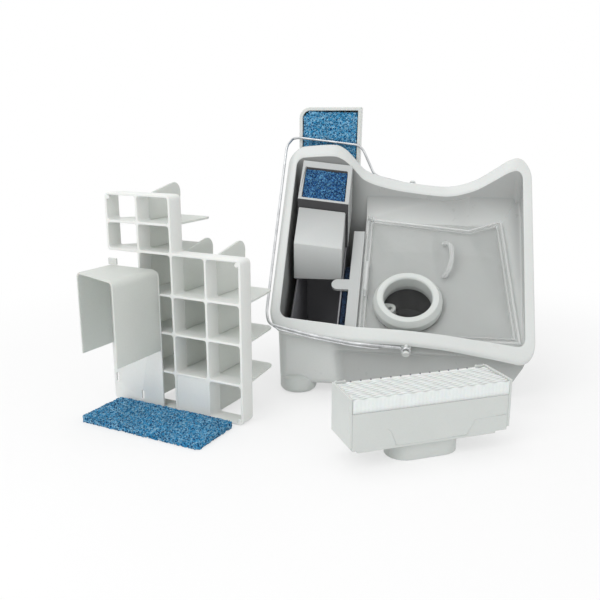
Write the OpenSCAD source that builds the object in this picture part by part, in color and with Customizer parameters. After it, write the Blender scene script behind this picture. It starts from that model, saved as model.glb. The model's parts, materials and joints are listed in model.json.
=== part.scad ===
// Water filter set: an open tank with an inclined saddle rim, its lift-out cover, foams and wire
// bail, and the baffle, foam pad and pleated cassette that stand beside it.
// +Z is up, +Y points to the back of the tank, and the origin lies on the floor under the set.

/* [Tank] */
// Width of the tank wall at its foot
tank_w = 294; // [284:1:304]
// Depth of the tank wall at its foot
tank_d = 178; // [172:1:186]
// Outward lean of the side walls
side_draft = 3.06; // [2:0.02:4]
// Outward lean of the front and back walls
end_draft = 1.5; // [1:0.1:2]
// Thickness of the tank wall
wall = 3; // [2.5:0.1:4]
// Corner radius of the tank wall
corner_r = 13; // [10:1:18]
// Sideways offset of the tank's foot against its rim
foot_shift = -9; // [-12:1:-4]
// Flare of the right wall above the foot
shoulder = 13; // [9:1:15]
// Height of the tank's underside above the floor
foot_h = 12; // [8:1:16]
// Radius of each foot
foot_r = 24; // [18:1:26]
// Thickness of the tank's bottom
floor_t = 4; // [3:0.5:6]
// Depth of the step in the front wall below the deck
recess_depth = 10; // [6:1:12]

/* [Rim] */
// Height of the rim's front left corner
rim_front_z = 91; // [86:1:96]
// Fall of the front rim towards the right
front_fall = 36; // [20:1:40]
// Height of the rim's left peak at the back
rim_back_z = 308; // [296:1:316]
// Depth of the saddle in the back rim
saddle_drop = 56; // [30:1:60]
// Overhang of the rim flange at the sides
flange_side = 9.5; // [7:0.5:11]
// Overhang of the rim flange at the front and back
flange_end = 11; // [8:0.5:12]
// Thickness of the rim flange, measured upright
flange_t = 7; // [5:0.5:9]

/* [Deck and cover] */
// Slope of the deck and of the cover that lies on it
deck_pitch = 39; // [38:0.5:40]
// Height of the deck's front edge
deck_front_z = 70; // [66:1:72]
// Thickness of the deck
deck_t = 4; // [3:0.5:5]
// Thickness of the clear cover
cover_t = 3; // [2:0.5:4]
// Height of the ridge round the cover
ridge_h = 3; // [2:0.5:4]
// Radius of the hole through the collar
collar_bore_r = 31.5; // [28:0.5:33]
// Outer radius of the collar
collar_r = 45; // [42:0.5:46]
// Height of the collar above the cover
collar_h = 18; // [14:0.5:20]
// Wall of the collar's spigot below the cover
spigot_wall = 3.5; // [3:0.5:4]
// Depth of the suction tube below the deck
tube_depth = 62; // [50:1:64]

/* [Left compartment] */
// Width of the divider's top strip
divider_w = 15; // [12:1:16]
// Height of the divider above the deck
divider_rise = 14; // [12:1:18]
// Width of the foam strip beside the divider
side_foam_t = 8; // [6:0.5:9]
// Wall of the dark chamber
liner_wall = 2; // [1.5:0.5:3]
// Distance of the duct box's front face from the tank's back
duct_set_back = 102; // [98:1:106]
// Depth of the duct box
duct_d = 44; // [40:1:44]
// Height of the duct box's front face
duct_h = 50; // [44:1:52]
// Depth of the foam holder
holder_d = 56; // [50:1:56]

/* [Bail] */
// Radius of the bail's wire
wire_r = 1.8; // [1.5:0.1:2.4]
// Gap between a bail eye and its pin
eye_clear = 0.3; // [0.2:0.05:0.4]
// Radius of the pivot pins
pin_r = 2.5; // [2:0.1:3]

/* [Tall foam tray] */
// Width of the tall tray at its foot
tray_w = 84; // [80:1:88]
// Height of the tall tray
tray_h = 367; // [350:1:375]
// Depth of the tall tray
tray_d = 30; // [24:1:34]
// Wall of the tall tray
tray_wall = 5; // [4:0.5:6]

/* [Baffle] */
// Width of one baffle cell
cell_w = 48; // [44:0.5:48.5]
// Thickness of the baffle's walls
rib_t = 3; // [2:0.5:4]
// Depth of the baffle's frame
frame_depth = 22; // [18:1:28]
// Depth of the baffle's shelves
shelf_depth = 86; // [78:1:88]
// Width of the hood
hood_w = 78; // [74:1:80]
// Underside height of the hood's side walls
hood_bottom = 76; // [70:1:84]
// Top height of the hood
hood_top = 176; // [170:1:182]
// Length of the hood's left wall
hood_left = 54; // [48:1:58]
// Length of the hood's right wall
hood_right = 80; // [74:1:84]

/* [Cassette] */
// Length of the cassette
cassette_l = 186; // [176:1:192]
// Depth of the cassette
cassette_d = 52; // [48:1:56]
// Height of the cassette's neck
neck_h = 19.5; // [16:0.5:22]
// Height of the cassette's housing
housing_h = 42.5; // [38:0.5:46]
// Height of the pleated media above the housing
media_h = 16; // [12:0.5:18]
// Length of the oval neck
neck_l = 82; // [74:1:86]
// Depth of the oval neck
neck_d = 42; // [38:1:44]
// Number of pleat rows
pleats = 10; // [8:1:12]

/* [Foam pad] */
// Length of the loose foam pad
pad_l = 169; // [160:1:176]
// Depth of the loose foam pad
pad_d = 71; // [66:1:74]
// Thickness of the loose foam pad
pad_t = 8; // [7:0.5:12]

/* [Hidden] */

// Gap between pieces that only lie beside each other
gap = 0.5;
// Shift that brings the floor point under the middle of the set to the origin
set_shift = [101.84, 76.95, 0];

top_z = 330;
shoulder_z = 48;
foot_chamfer = 10;
run_out = 0.5;
recess_z = 60;
// Edges of the deck, and the inward kink of the wall behind it
deck_edge_y = tank_d / 2 - 5;
deck_back_y = tank_d / 2 - 3;
kink_x = tank_w / 2 - 59;
kink_y = tank_d / 2 - 19;
deck_left_x = -57;
deck_right_x = tank_w / 2 - 11;
deck_front_right_x = deck_right_x + shoulder + 1;
collar_x = 7.2;
collar_y = 52.8 - tank_d / 2;
duct_y = tank_d / 2 - duct_set_back;
divider_x = deck_left_x - divider_w;
divider_back_y = tank_d / 2 - 37;
liner_right_x = divider_x - side_foam_t - 2 * gap;
liner_left_x = 2 - tank_w / 2;
duct_left_x = -2 - tank_w / 2;
duct_right_x = liner_right_x - 2;
holder_right_x = liner_right_x + 2;
spigot_r = collar_bore_r + spigot_wall;
tube_r = spigot_r + 7;
pivot_x = 7.4;
front_pivot_y = -(tank_d / 2 + flange_end + 6);
front_pivot_z = rim_front_z - 21;
back_pivot_y = tank_d / 2 + flange_end + 14;
back_pivot_z = rim_back_z - 54;
pivot_block = [12, 13, 8];
pin_reach = 7;
tray_x = -tank_w / 2 - 15;
tray_y = back_pivot_y + 4;
tray_lean = 8;

pale = "#d2d5d4";
light = "#c3c8c6";
white = "#f2f3f2";
dark = "#2b2b2f";
blue = "#3c82b4";
navy = "#1f4a80";
steel = "#b8bcbe";
clear = "#dfe6e6";
rubber = "#3a3c3e";

// Share of the front fall, and of the saddle's drop, across the rim's width
front_shape = [[-1, 0], [-0.65, 0.2], [-0.37, 0.28], [0, 0.31], [0.3, 0.42], [0.6, 0.64], [1, 1]];
back_shape = [
    [-1, 0.07], [-0.75, 0], [-0.6, 0], [-0.52, 0.12], [-0.44, 0.36], [-0.37, 0.58], [-0.26, 0.73],
    [-0.09, 0.86], [0.12, 0.95], [0.32, 1], [0.43, 0.96], [0.57, 0.82], [0.71, 0.57], [0.82, 0.36],
    [0.9, 0.29], [1, 0.32]
];
rim_x = tank_w / 2 + 25;
rim_y = tank_d / 2 + 13.5;
rim_steps = 44;

function half_w(z) = tank_w / 2 + z * tan(side_draft);
function half_d(z) = tank_d / 2 + z * tan(end_draft);
function shift_x(z) = foot_shift * (1 - z / top_z);
function rim_front(x) = rim_front_z - front_fall * lookup(x / rim_x, front_shape);
function rim_back(x) = rim_back_z - saddle_drop * lookup(x / rim_x, back_shape);
function rim_z(x, y) = rim_front(x) + (rim_back(x) - rim_front(x)) * (y + rim_y) / (2 * rim_y);
function deck_z(y) = deck_front_z + tan(deck_pitch) * (y + deck_edge_y);

// Points of a rounded rectangle with its lower left corner at the origin
function rounded(w, h, r, n = 3) = [
    for (c = [[w - r, h - r, 0], [r, h - r, 90], [r, r, 180], [w - r, r, 270]], i = [0:n])
        [c[0] + r * cos(c[2] + 90 * i / n), c[1] + r * sin(c[2] + 90 * i / n)]
];

module plan(w, d, r) {
    polygon([for (p = rounded(w, d, r, 6)) p - [w / 2, d / 2]]);
}

// Tank outline between its foot and top_z, larger by gx and gy on each side; the right wall
// flares out to the shoulder and then leans as the others do
module tank_body(gx = 0, gy = 0, bottom = foot_h, chamfer = foot_chamfer) {
    r = max(corner_r + min(gx, gy), 4);
    hull() for (section = [[bottom, -chamfer, 0], [bottom + chamfer, 0, 0], [shoulder_z, 0, shoulder], [top_z, 0, 0]]) {
        z = section[0];
        grow = section[1];
        flare = section[2];
        translate([shift_x(z) + flare / 2, 0, z]) linear_extrude(0.01)
            plan(2 * (half_w(z) + gx + grow) + flare, 2 * (half_d(z) + gy + grow), r);
    }
}

// Outer face of the right wall above the shoulder
function right_x(z) = lookup(z, [
    [shoulder_z, shift_x(shoulder_z) + half_w(shoulder_z) + shoulder], [top_z, half_w(top_z)]
]);

// Room in front of the wall where it steps back below the deck, larger by grow
module front_recess(grow = 0) {
    y = recess_depth + grow - tank_d / 2;
    x = divider_x - 8 - grow;
    linear_extrude(recess_z + grow) polygon([
        [x, -tank_d], [tank_w, -tank_d], [tank_w, y], [x + 12, y], [x + 5, y - 2], [x, y - 8]
    ]);
}

module tank_wall() {
    difference() {
        tank_body();
        front_recess();
    }
}

module tank_inside() {
    difference() {
        tank_body(-wall, -wall, foot_h + floor_t, foot_chamfer - wall);
        front_recess(wall);
    }
}

// Everything below the rim surface, moved down by drop
module below_rim(drop = 0) {
    y_end = rim_y + 20;
    xs = [for (i = [0:rim_steps]) -rim_x + 2 * rim_x * i / rim_steps];
    points = [
        for (x = xs) each [
            [x, -y_end, 0], [x, -y_end, rim_z(x, -y_end) - drop],
            [x, y_end, rim_z(x, y_end) - drop], [x, y_end, 0]
        ]
    ];
    last = 4 * rim_steps;
    polyhedron(points, concat(
        [[3, 2, 1, 0], [last, last + 1, last + 2, last + 3]],
        [for (i = [0:rim_steps - 1], k = [0:3]) each let (a = 4 * i + k, b = 4 * i + (k + 1) % 4)
            [[a, b, a + 4], [b, b + 4, a + 4]]]
    ));
}

// Block between two upright planes across X, given by its outline in Y and Z
module side_prism(x0, x1, outline) {
    translate([x0, 0, 0]) rotate([90, 0, 90]) linear_extrude(x1 - x0) polygon(outline);
}

// Places children on the deck's plane, local Z along its normal
module on_deck(x, y, rise = 0) {
    translate([x, y, deck_z(y)]) rotate([deck_pitch, 0, 0]) translate([0, 0, rise]) children();
}

function along(y) = y / cos(deck_pitch);

module tank_shell() color(pale) {
    difference() {
        union() {
            intersection() {
                tank_wall();
                below_rim();
            }
            intersection() {
                tank_body(flange_side, flange_end);
                difference() {
                    below_rim();
                    below_rim(flange_t);
                }
            }
        }
        tank_inside();
    }
}

foot_spots = [for (sx = [-1, 1], sy = [-1, 1])
    [foot_shift + sx * (tank_w / 2 - foot_r + 1), sy * (tank_d / 2 - foot_r + 7) + (sx > sy ? recess_depth + 5 : 0)]];

module tank_feet() color(light) {
    difference() {
        for (p = foot_spots) translate(p) rotate_extrude($fn = 48)
            polygon([
                [0, 0], [foot_r - 7, 0],
                for (a = [-75:15:0]) [foot_r - 7 + 7 * cos(a), 7 + 7 * sin(a)],
                [foot_r, 20], [foot_r - 4, 24], [0, 24]
            ]);
        tank_wall();
    }
}

// Block that carries a pin; everything is cut back where the wall and the flange are
module pivot(y, z, wall_y) {
    out = sign(y);
    near_y = y - out * 4.5;
    difference() {
        union() {
            difference() {
                intersection() {
                    translate([pivot_x - pivot_block[0] / 2, min(near_y, wall_y), z - pivot_block[2]])
                        cube([pivot_block[0], abs(near_y - wall_y), pivot_block[1]]);
                    below_rim(0.01);
                }
                bail_sweep();
            }
            pin(y, z, out);
        }
        tank_body();
        intersection() {
            tank_body(flange_side + 0.01, flange_end);
            difference() {
                below_rim();
                below_rim(flange_t);
            }
        }
    }
}

// Pivot pins lie on one line through both pivots
pivot_line = [0, back_pivot_y - front_pivot_y, back_pivot_z - front_pivot_z];
pivot_pitch = atan2(pivot_line[2], pivot_line[1]);

module pin(y, z, out) {
    translate([pivot_x, y, z]) rotate([-90 + pivot_pitch, 0, 0]) {
        translate([0, 0, -pin_reach - (out > 0 ? 1 : 0)]) cylinder(r = pin_r, h = 2 * pin_reach + 1, $fn = 32);
        translate([0, 0, out > 0 ? pin_reach - 3 : -pin_reach]) cylinder(r = pin_r + 2, h = 3, $fn = 32);
    }
}

module front_pivot() color(light) {
    pivot(front_pivot_y, front_pivot_z, -half_d(front_pivot_z) + wall - 1);
}

module back_pivot() color(light) {
    pivot(back_pivot_y, back_pivot_z, half_d(back_pivot_z) - wall + 1);
}

// Room for the bail's eyes
module bail_sweep() {
    for (p = [[front_pivot_y, front_pivot_z], [back_pivot_y, back_pivot_z]])
        translate([pivot_x, p[0], p[1]]) rotate([-90 + pivot_pitch, 0, 0])
            translate([0, 0, -wire_r - 1]) cylinder(r = 13, h = 2 * wire_r + 2, $fn = 32);
}

// Space over the deck: its walls lean out and run out into the tank's walls at rise above the
// deck, just below the saddle, and the back wall steps inwards at kink_x
module deck_space() {
    low_y = -tank_d / 2 - wall;
    rise = 24;
    end_z = rim_back_z - saddle_drop - 8;
    front_z = deck_z(low_y) + rise;
    back_y = half_d(end_z) - wall + run_out;
    top_y = half_d(top_z) - wall + run_out;
    lift = rise * sin(deck_pitch);
    // left and right ends of a part at its front, at its back and at the top of the tank
    for (part = [
        [deck_left_x - 20, kink_x, kink_x, deck_back_y, kink_y, kink_x, kink_x, kink_x],
        [kink_x, deck_front_right_x, deck_right_x, kink_y, deck_back_y, right_x(front_z) - wall + run_out,
            right_x(end_z) - wall + run_out, right_x(top_z) - wall + run_out]
    ]) {
        hull() {
            on_deck(0, 0) linear_extrude(0.01) polygon([
                [part[0], along(low_y)], [part[1], along(low_y)],
                [part[2], along(part[4])], [part[0], along(part[3])]
            ]);
            deck_level(part, rise, low_y + lift, back_y + lift);
        }
        hull() {
            deck_level(part, rise, low_y + lift, back_y + lift);
            translate([0, 0, top_z]) linear_extrude(0.01)
                polygon([[part[0], -top_y], [part[7], -top_y], [part[7], top_y], [part[0], top_y]]);
        }
    }
}

// Slice of a part of the deck's space parallel to the deck
module deck_level(part, rise, y0, y1) {
    on_deck(0, 0, rise) linear_extrude(0.01) polygon([
        [part[0], along(y0)], [part[5], along(y0)], [part[6], along(y1)], [part[0], along(y1)]
    ]);
}

module inner_deck() color(light) {
    reach = tank_d;
    difference() {
        intersection() {
            tank_inside();
            below_rim(8);
            translate([deck_left_x, -reach, 0]) cube([tank_w, 2 * reach, top_z]);
        }
        deck_space();
        side_prism(deck_left_x - 1, tank_w, [
            [-reach, -reach], [-reach, deck_z(-reach) - deck_t / cos(deck_pitch)],
            [reach, deck_z(reach) - deck_t / cos(deck_pitch)], [reach, -reach]
        ]);
        on_deck(collar_x, collar_y, -20) cylinder(r = tube_r, h = 60, $fn = 64);
    }
}

module suction_tube() color(light) {
    on_deck(collar_x, collar_y, -tube_depth) difference() {
        cylinder(r = tube_r, h = tube_depth, $fn = 64);
        translate([0, 0, -1]) cylinder(r = tube_r - 3, h = tube_depth + 2, $fn = 64);
    }
}

lug_h = 26;
lug_r = 7.5;
lug_reach = 19;

module tube_lug() color(pale) {
    on_deck(collar_x, collar_y, -lug_h - 4.5) difference() {
        intersection() {
            union() {
                translate([-tube_r, -lug_r, 0]) cube([lug_reach, 2 * lug_r, lug_h]);
                translate([-tube_r + lug_reach, 0, 0]) cylinder(r = lug_r, h = lug_h, $fn = 32);
            }
            cylinder(r = tube_r - 3, h = tube_depth, $fn = 64);
        }
        translate([-tube_r + lug_reach, 0, -1]) cylinder(r = 2.5, h = lug_h + 2, $fn = 24);
    }
}

module tube_end_cap() color(dark) {
    on_deck(collar_x, collar_y, -tube_depth) {
        cylinder(r = tube_r - 3, h = 4, $fn = 64);
    }
}

function strip_z(y) = deck_z(y) + divider_rise;

// Inner face of the tank's front wall at height z
function front_face(z) = -half_d(z) + wall;
inner_base = foot_h + floor_t;

// Tongue that reaches over the chamber from the divider, in front of the duct box
tongue_l = 15;
tongue_w = 17;
tongue_t = 4;
tongue_y = duct_y - tongue_w / 2 - 2;

module divider() color(pale) {
    intersection() {
        side_prism(divider_x, deck_left_x, [
            [-tank_d, 0], [-tank_d, strip_z(-tank_d)],
            [divider_back_y, strip_z(divider_back_y)], [divider_back_y, 0]
        ]);
        tank_inside();
        below_rim(2);
    }
    translate([0, 0, divider_rise]) on_deck(divider_x, tongue_y) translate([0, 0, -tongue_t]) {
        translate([-tongue_l, -tongue_w / 2, 0]) cube([tongue_l, tongue_w, tongue_t]);
        translate([-tongue_l, 0, 0]) cylinder(r = tongue_w / 2, h = tongue_t, $fn = 32);
    }
}

liner_rise = 8;
function liner_top(y) = deck_z(y) + liner_rise;
// Small block in the chamber's front corner
chamber_block = [18, 16, 60];

module chamber_liner() color(dark) {
    y0 = front_face(inner_base) + foot_chamfer;
    y1 = -y0;
    outline = [[y0, inner_base], [y0, liner_top(y0)], [y1, liner_top(y1)], [y1, inner_base]];
    inner = [
        [y0 + liner_wall, inner_base + liner_wall], [y0 + liner_wall, top_z],
        [y1 - liner_wall, top_z], [y1 - liner_wall, inner_base + liner_wall]
    ];
    left = liner_left_x;
    difference() {
        side_prism(left, liner_right_x, outline);
        side_prism(left + liner_wall, liner_right_x - liner_wall, inner);
    }
    translate([liner_right_x - liner_wall - chamber_block[0], y0 + liner_wall, inner_base + liner_wall])
        cube(chamber_block);
}

// The holder's top runs parallel to the rim, and its window is open down to a thin floor
holder_y = duct_y + duct_d + 2.5;
holder_pitch = 42;
tops_roll = 6;
window_front = 3.5;
window_back = 10;
window_left = 5;
window_right = 6;
holder_floor = 4;
holder_rise = 76;
foam_drop = 1.5;
function holder_top(y) = deck_z(holder_y) + holder_rise + tan(holder_pitch) * (y - holder_y);

// Everything below a plane that rises backwards from (y, z) by pitch and falls to the right by roll
module below_slope(y, z, pitch, roll = tops_roll) {
    translate([duct_left_x, y, z]) rotate([pitch, roll, 0]) translate([-tank_d, -tank_d, -2 * tank_d])
        cube(2 * tank_d);
}

module foam_holder() color(pale) {
    y0 = holder_y;
    y1 = y0 + holder_d;
    a = y0 + window_front;
    b = y1 - window_back;
    difference() {
        intersection() {
            side_prism(duct_left_x - 2, holder_right_x, [
                [y0, liner_top(y0)], [y0, top_z], [y1, top_z], [y1, liner_top(y1)]
            ]);
            below_slope(y0, holder_top(y0), holder_pitch);
        }
        side_prism(duct_left_x - 2 + window_left, holder_right_x - window_right, [
            [a, liner_top(a) + holder_floor], [a, top_z], [b, top_z], [b, liner_top(b) + holder_floor]
        ]);
    }
}

module holder_foam() color(navy) {
    a = holder_y + window_front + gap;
    b = holder_y + holder_d - window_back - gap;
    under = holder_floor + gap;
    intersection() {
        side_prism(duct_left_x - 2 + window_left + gap, holder_right_x - window_right - gap, [
            [a, liner_top(a) + under], [a, top_z], [b, top_z], [b, liner_top(b) + under]
        ]);
        below_slope(holder_y, holder_top(holder_y) - foam_drop, holder_pitch);
    }
}

duct_pitch = 45;

module duct_box() color(pale) {
    y1 = duct_y + duct_d;
    low = liner_top(duct_y) + gap;
    high = low + duct_h;
    thick = 2.5;
    difference() {
        intersection() {
            side_prism(duct_left_x, duct_right_x, [
                [duct_y, low], [duct_y, top_z], [y1, top_z], [y1, liner_top(y1) + gap]
            ]);
            below_slope(duct_y, high, duct_pitch);
        }
        intersection() {
            side_prism(duct_left_x + thick, duct_right_x - thick, [
                [duct_y + thick, 0], [duct_y + thick, top_z], [y1 - thick, top_z], [y1 - thick, 0]
            ]);
            below_slope(duct_y, high - thick / cos(duct_pitch), duct_pitch);
        }
    }
}

module side_foam() color(navy) {
    base = inner_base + gap;
    y0 = front_face(inner_base) + foot_chamfer;
    y1 = duct_y + 23;
    side_prism(liner_right_x + gap, divider_x - gap, [
        [y0, base], [y0, deck_z(y0) + 6], [y1, deck_z(y1) + 6], [y1, base]
    ]);
}

cover_gap = 0.3;
cover_outline = [
    [deck_left_x + 2, along(-deck_edge_y + 4)], [deck_front_right_x - 2, along(-deck_edge_y + 4)],
    [deck_right_x - 2, along(deck_back_y - 3)], [kink_x, along(kink_y - 2)],
    [deck_left_x + 2, along(deck_back_y - 3)]
];

module cover_plate() color(clear, 0.5) {
    on_deck(0, 0, cover_gap) difference() {
        union() {
            linear_extrude(cover_t) polygon(cover_outline);
            linear_extrude(cover_t + ridge_h) difference() {
                polygon(cover_outline);
                offset(delta = -3) polygon(cover_outline);
            }
            linear_extrude(cover_t + ridge_h) difference() {
                offset(delta = -6) polygon(cover_outline);
                offset(delta = -8) polygon(cover_outline);
            }
        }
        translate([collar_x, along(collar_y), -1]) cylinder(r = collar_r + 1, h = 20, $fn = 64);
    }
    on_deck(collar_x, collar_y, cover_gap) difference() {
        cylinder(r = collar_r + 1.5, h = cover_t, $fn = 64);
        translate([0, 0, -1]) cylinder(r = spigot_r, h = 20, $fn = 64);
    }
}

handle_l = 64;
handle_h = 20;
handle_t = 5;
handle_x = kink_x - 34;
handle_y = tank_d / 2 - 64;
handle_lean = 34;

module cover_handle() color(clear, 0.6) {
    on_deck(handle_x, handle_y, cover_gap + cover_t) difference() {
        rotate([0, handle_lean, 0]) translate([-handle_t / 2, 0, 0]) rotate([90, 0, 90])
            linear_extrude(handle_t) difference() {
                polygon(concat([[-handle_l / 2, -handle_t], [handle_l / 2, -handle_t]],
                    [for (a = [0:10:180]) [handle_l / 2 * cos(a), handle_h * sin(a)]]));
                polygon(concat([[handle_t - handle_l / 2, -2 * handle_t], [handle_l / 2 - handle_t, -2 * handle_t]],
                    [for (a = [0:10:180]) [(handle_l / 2 - handle_t) * cos(a), (handle_h - handle_t) * sin(a)]]));
            }
        translate([-handle_l, -handle_l, -handle_l]) cube([2 * handle_l, 2 * handle_l, handle_l]);
    }
}

latch_l = 58;

module side_latch() color(clear, 0.6) {
    on_deck(deck_left_x + 5.5, -6, cover_gap + cover_t + ridge_h) rotate([90, 0, 90])
        linear_extrude(4) difference() {
            polygon([[-latch_l / 2, 0], [-latch_l / 2 + 4, 9], [latch_l / 2 - 4, 9], [latch_l / 2, 0]]);
            polygon([[-latch_l / 2 + 5, -1], [-latch_l / 2 + 8, 5], [latch_l / 2 - 8, 5], [latch_l / 2 - 5, -1]]);
        }
}

module collar() color(pale) {
    foot = cover_gap + cover_t;
    on_deck(collar_x, collar_y) rotate_extrude($fn = 96) polygon([
        [collar_bore_r, -3.5], [spigot_r, -3.5], [spigot_r, foot], [collar_r, foot],
        [collar_r, foot + collar_h - 8], [collar_r - 5, foot + collar_h], [collar_bore_r + 2, foot + collar_h],
        [collar_bore_r, foot + collar_h - 2]
    ]);
}

module collar_seal() color(rubber) {
    on_deck(collar_x, collar_y) difference() {
        translate([0, 0, -3]) cylinder(r = spigot_r + 0.8, h = 2, $fn = 64);
        translate([0, 0, -4]) cylinder(r = spigot_r, h = 5, $fn = 64);
    }
}

// Wire route of the bail, from the front eye round the left side to the back eye
bail_x = tank_w / 2 + 23.5;
bail_points = [
    [pivot_x - 4.5, front_pivot_y, front_pivot_z + 1], [87 - tank_w / 2, front_pivot_y, rim_front_z - 15],
    [37 - tank_w / 2, front_pivot_y, rim_front_z - 7], [5 - bail_x, front_pivot_y + 2, rim_front_z + 5],
    [-bail_x, front_pivot_y + 12, rim_front_z + 17], [-5 - bail_x, back_pivot_y - 23, rim_back_z + 4],
    [1 - bail_x, back_pivot_y - 3, rim_back_z + 14], [11 - bail_x, back_pivot_y, rim_back_z + 15],
    [97 - bail_x, back_pivot_y, rim_back_z + 5], [105 - bail_x, back_pivot_y, rim_back_z - 2],
    [121 - bail_x, back_pivot_y, back_pivot_z + 18], [129 - bail_x, back_pivot_y, back_pivot_z + 13],
    [pivot_x - 4.5, back_pivot_y, back_pivot_z + 1]
];

function unit(v) = v / norm(v);
function heading(p, i) = unit(
    (i < len(p) - 1 ? unit(p[i + 1] - p[i]) : [0, 0, 0]) + (i > 0 ? unit(p[i] - p[i - 1]) : [0, 0, 0])
);

// Points with each inner corner cut back by c on both sides
function eased(p, c) = [
    p[0],
    for (i = [1:len(p) - 2])
        let (b = min(c, norm(p[i] - p[i - 1]) / 3), f = min(c, norm(p[i + 1] - p[i]) / 3))
            each [p[i] - b * unit(p[i] - p[i - 1]), p[i] * 0.7 + 0.15 * (2 * p[i]
                - b * unit(p[i] - p[i - 1]) + f * unit(p[i + 1] - p[i])), p[i] + f * unit(p[i + 1] - p[i])],
    p[len(p) - 1]
];

module tube(path, r, sides = 8) {
    n = len(path);
    side = [0.31, -0.63, 0.71];
    points = [
        for (i = [0:n - 1])
            let (h = heading(path, i), a = unit(cross(h, side)), b = cross(h, a))
                for (k = [0:sides - 1]) path[i] + r * (cos(360 * k / sides) * a + sin(360 * k / sides) * b)
    ];
    polyhedron(points, concat(
        [[for (k = [0:sides - 1]) k]],
        [[for (k = [sides - 1:-1:0]) (n - 1) * sides + k]],
        [for (i = [0:n - 2], k = [0:sides - 1])
            let (a = i * sides + k, b = i * sides + (k + 1) % sides) each [[a, a + sides, b], [b, a + sides, b + sides]]]
    ));
}

module bail() color(steel) {
    tube(eased(bail_points, 6), wire_r);
    for (p = [[front_pivot_y, front_pivot_z], [back_pivot_y, back_pivot_z]])
        translate([pivot_x, p[0], p[1]]) rotate([-90 + pivot_pitch, 0, 0])
            rotate_extrude($fn = 32) translate([pin_r + eye_clear + wire_r, 0]) circle(r = wire_r, $fn = 16);
}

function tray_side(z) = tray_x + tray_w + tray_lean * z / tray_h;

module tall_tray() color(pale) {
    big = 16;
    outline = concat(
        [[tray_x, 0], [tray_side(0), 0], [tray_side(tray_h), tray_h]],
        [for (a = [90:15:180]) [tray_x + big + big * cos(a), tray_h - big + big * sin(a)]]
    );
    inner = concat(
        [[tray_x + tray_wall, tray_wall], [tray_side(0) - tray_wall, tray_wall],
            [tray_side(tray_h) - tray_wall, tray_h - tray_wall]],
        [for (a = [90:15:180]) [
            tray_x + big + (big - tray_wall) * cos(a), tray_h - big + (big - tray_wall) * sin(a)]]
    );
    translate([0, tray_y + tray_d, 0]) rotate([90, 0, 0]) difference() {
        linear_extrude(tray_d) polygon(outline);
        translate([0, 0, 3]) linear_extrude(tray_d) polygon(inner);
    }
}

module tall_foam() color(blue) {
    m = tray_wall + gap;
    translate([0, tray_y + tray_d - 3 - gap, 0]) rotate([90, 0, 0]) linear_extrude(tray_d - 5) polygon([
        [tray_x + m, m], [tray_side(0) - m, m], [tray_side(tray_h) - m, tray_h - m - 2],
        [tray_x + m + 8, tray_h - m], [tray_x + m, tray_h - m - 8]
    ]);
}

// Baffle: local X along its face, Y to the back, lower left corner at the origin
baffle_place = [-tank_w / 2 - 211, -tank_d / 2 - 56, 0];
baffle_turn = -19;
row_z = [0, 49, 98, 145, 195, 229, 262];

module at_baffle() {
    translate(baffle_place) rotate([0, 0, baffle_turn]) children();
}

// Plate in the plane of the baffle's face, between depths y0 and y1
module face_plate(y0, y1) {
    translate([0, y1, 0]) rotate([90, 0, 0]) linear_extrude(y1 - y0) children();
}

// Underside and top of the wall at row r
function row_low(r) = r == 0 ? 0 : row_z[r] - rib_t / 2;
function row_high(r) = row_low(r) + rib_t;
// Left faces of the upright walls between rows r and r + 1
function post_sides(r) = r < 4
    ? [cell_w - rib_t / 2, 2 * cell_w - rib_t / 2, 3 * cell_w - rib_t / 2, 4 * cell_w - rib_t]
    : [0, cell_w - rib_t / 2, 2 * cell_w - rib_t / 2];
upper_right = 2 * cell_w + rib_t / 2;
crest = 10;

// Rows between cells; those that run on as shelves stop clear of the bail on the right
module baffle_rows() color(pale) at_baffle() {
    f = frame_depth;
    d = shelf_depth;
    for (r = [0, 4, 6]) translate([r == 0 ? cell_w - rib_t / 2 : 0, 0, row_low(r)])
        cube([r == 6 ? upper_right : r == 4 ? 4 * cell_w : 3 * cell_w + rib_t / 2, f, rib_t]);
    for (r = [1:3]) translate([0, 0, row_low(r)]) linear_extrude(rib_t) polygon([
        [cell_w - rib_t / 2, 0], [4 * cell_w, 0], [4 * cell_w, f], [4 * cell_w - 8, d - 7],
        [4 * cell_w - 14, d], [2 * cell_w, d], [cell_w - rib_t / 2, d - 20]
    ]);
    translate([0, 0, row_low(5)]) linear_extrude(rib_t) polygon([
        [0, 0], [upper_right, 0], [upper_right, f], [2 * cell_w - 1, d - 6], [2 * cell_w - 6, d], [cell_w, d], [0, f + 4]
    ]);
}

module baffle_posts() color(pale) at_baffle() {
    for (r = [0:5], u = post_sides(r))
        translate([u, 0, row_high(r)]) cube([rib_t, frame_depth, row_low(r + 1) - row_high(r)]);
}

module baffle_shelf() color(pale) at_baffle() {
    right = 2 * cell_w - rib_t / 2;
    translate([0, 0, row_low(4)]) linear_extrude(rib_t) polygon([
        [0, frame_depth], [right, frame_depth], [right, shelf_depth - 6], [right - 5, shelf_depth],
        [cell_w, shelf_depth], [0, frame_depth + 4]
    ]);
}

// Deep upright ribs behind the frame; the topmost pieces end in a rounded crest above its edge
module baffle_ribs() color(pale) at_baffle() {
    f = frame_depth;
    back = shelf_depth - 5;
    for (c = [1:3], r = [0:c == 1 ? 5 : 3])
        translate([c * cell_w - rib_t / 2, 0, 0]) rotate([90, 0, 90]) linear_extrude(rib_t)
            if (r == 5 || (r == 3 && c > 1))
                polygon([
                    [f, row_high(r)], [back, row_high(r)], [back + 3, row_high(r + 1) - 16],
                    for (a = [0:15:105]) [shelf_depth - 13 + 12 * cos(a), row_z[r + 1] + crest * (1.3 * sin(a) - 0.3)],
                    [f + 11, row_high(r + 1)], [f, row_low(r + 1)]
                ]);
            else polygon([[f, row_high(r)], [back, row_high(r)], [back, row_low(r + 1)], [f, row_low(r + 1)]]);
}

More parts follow.
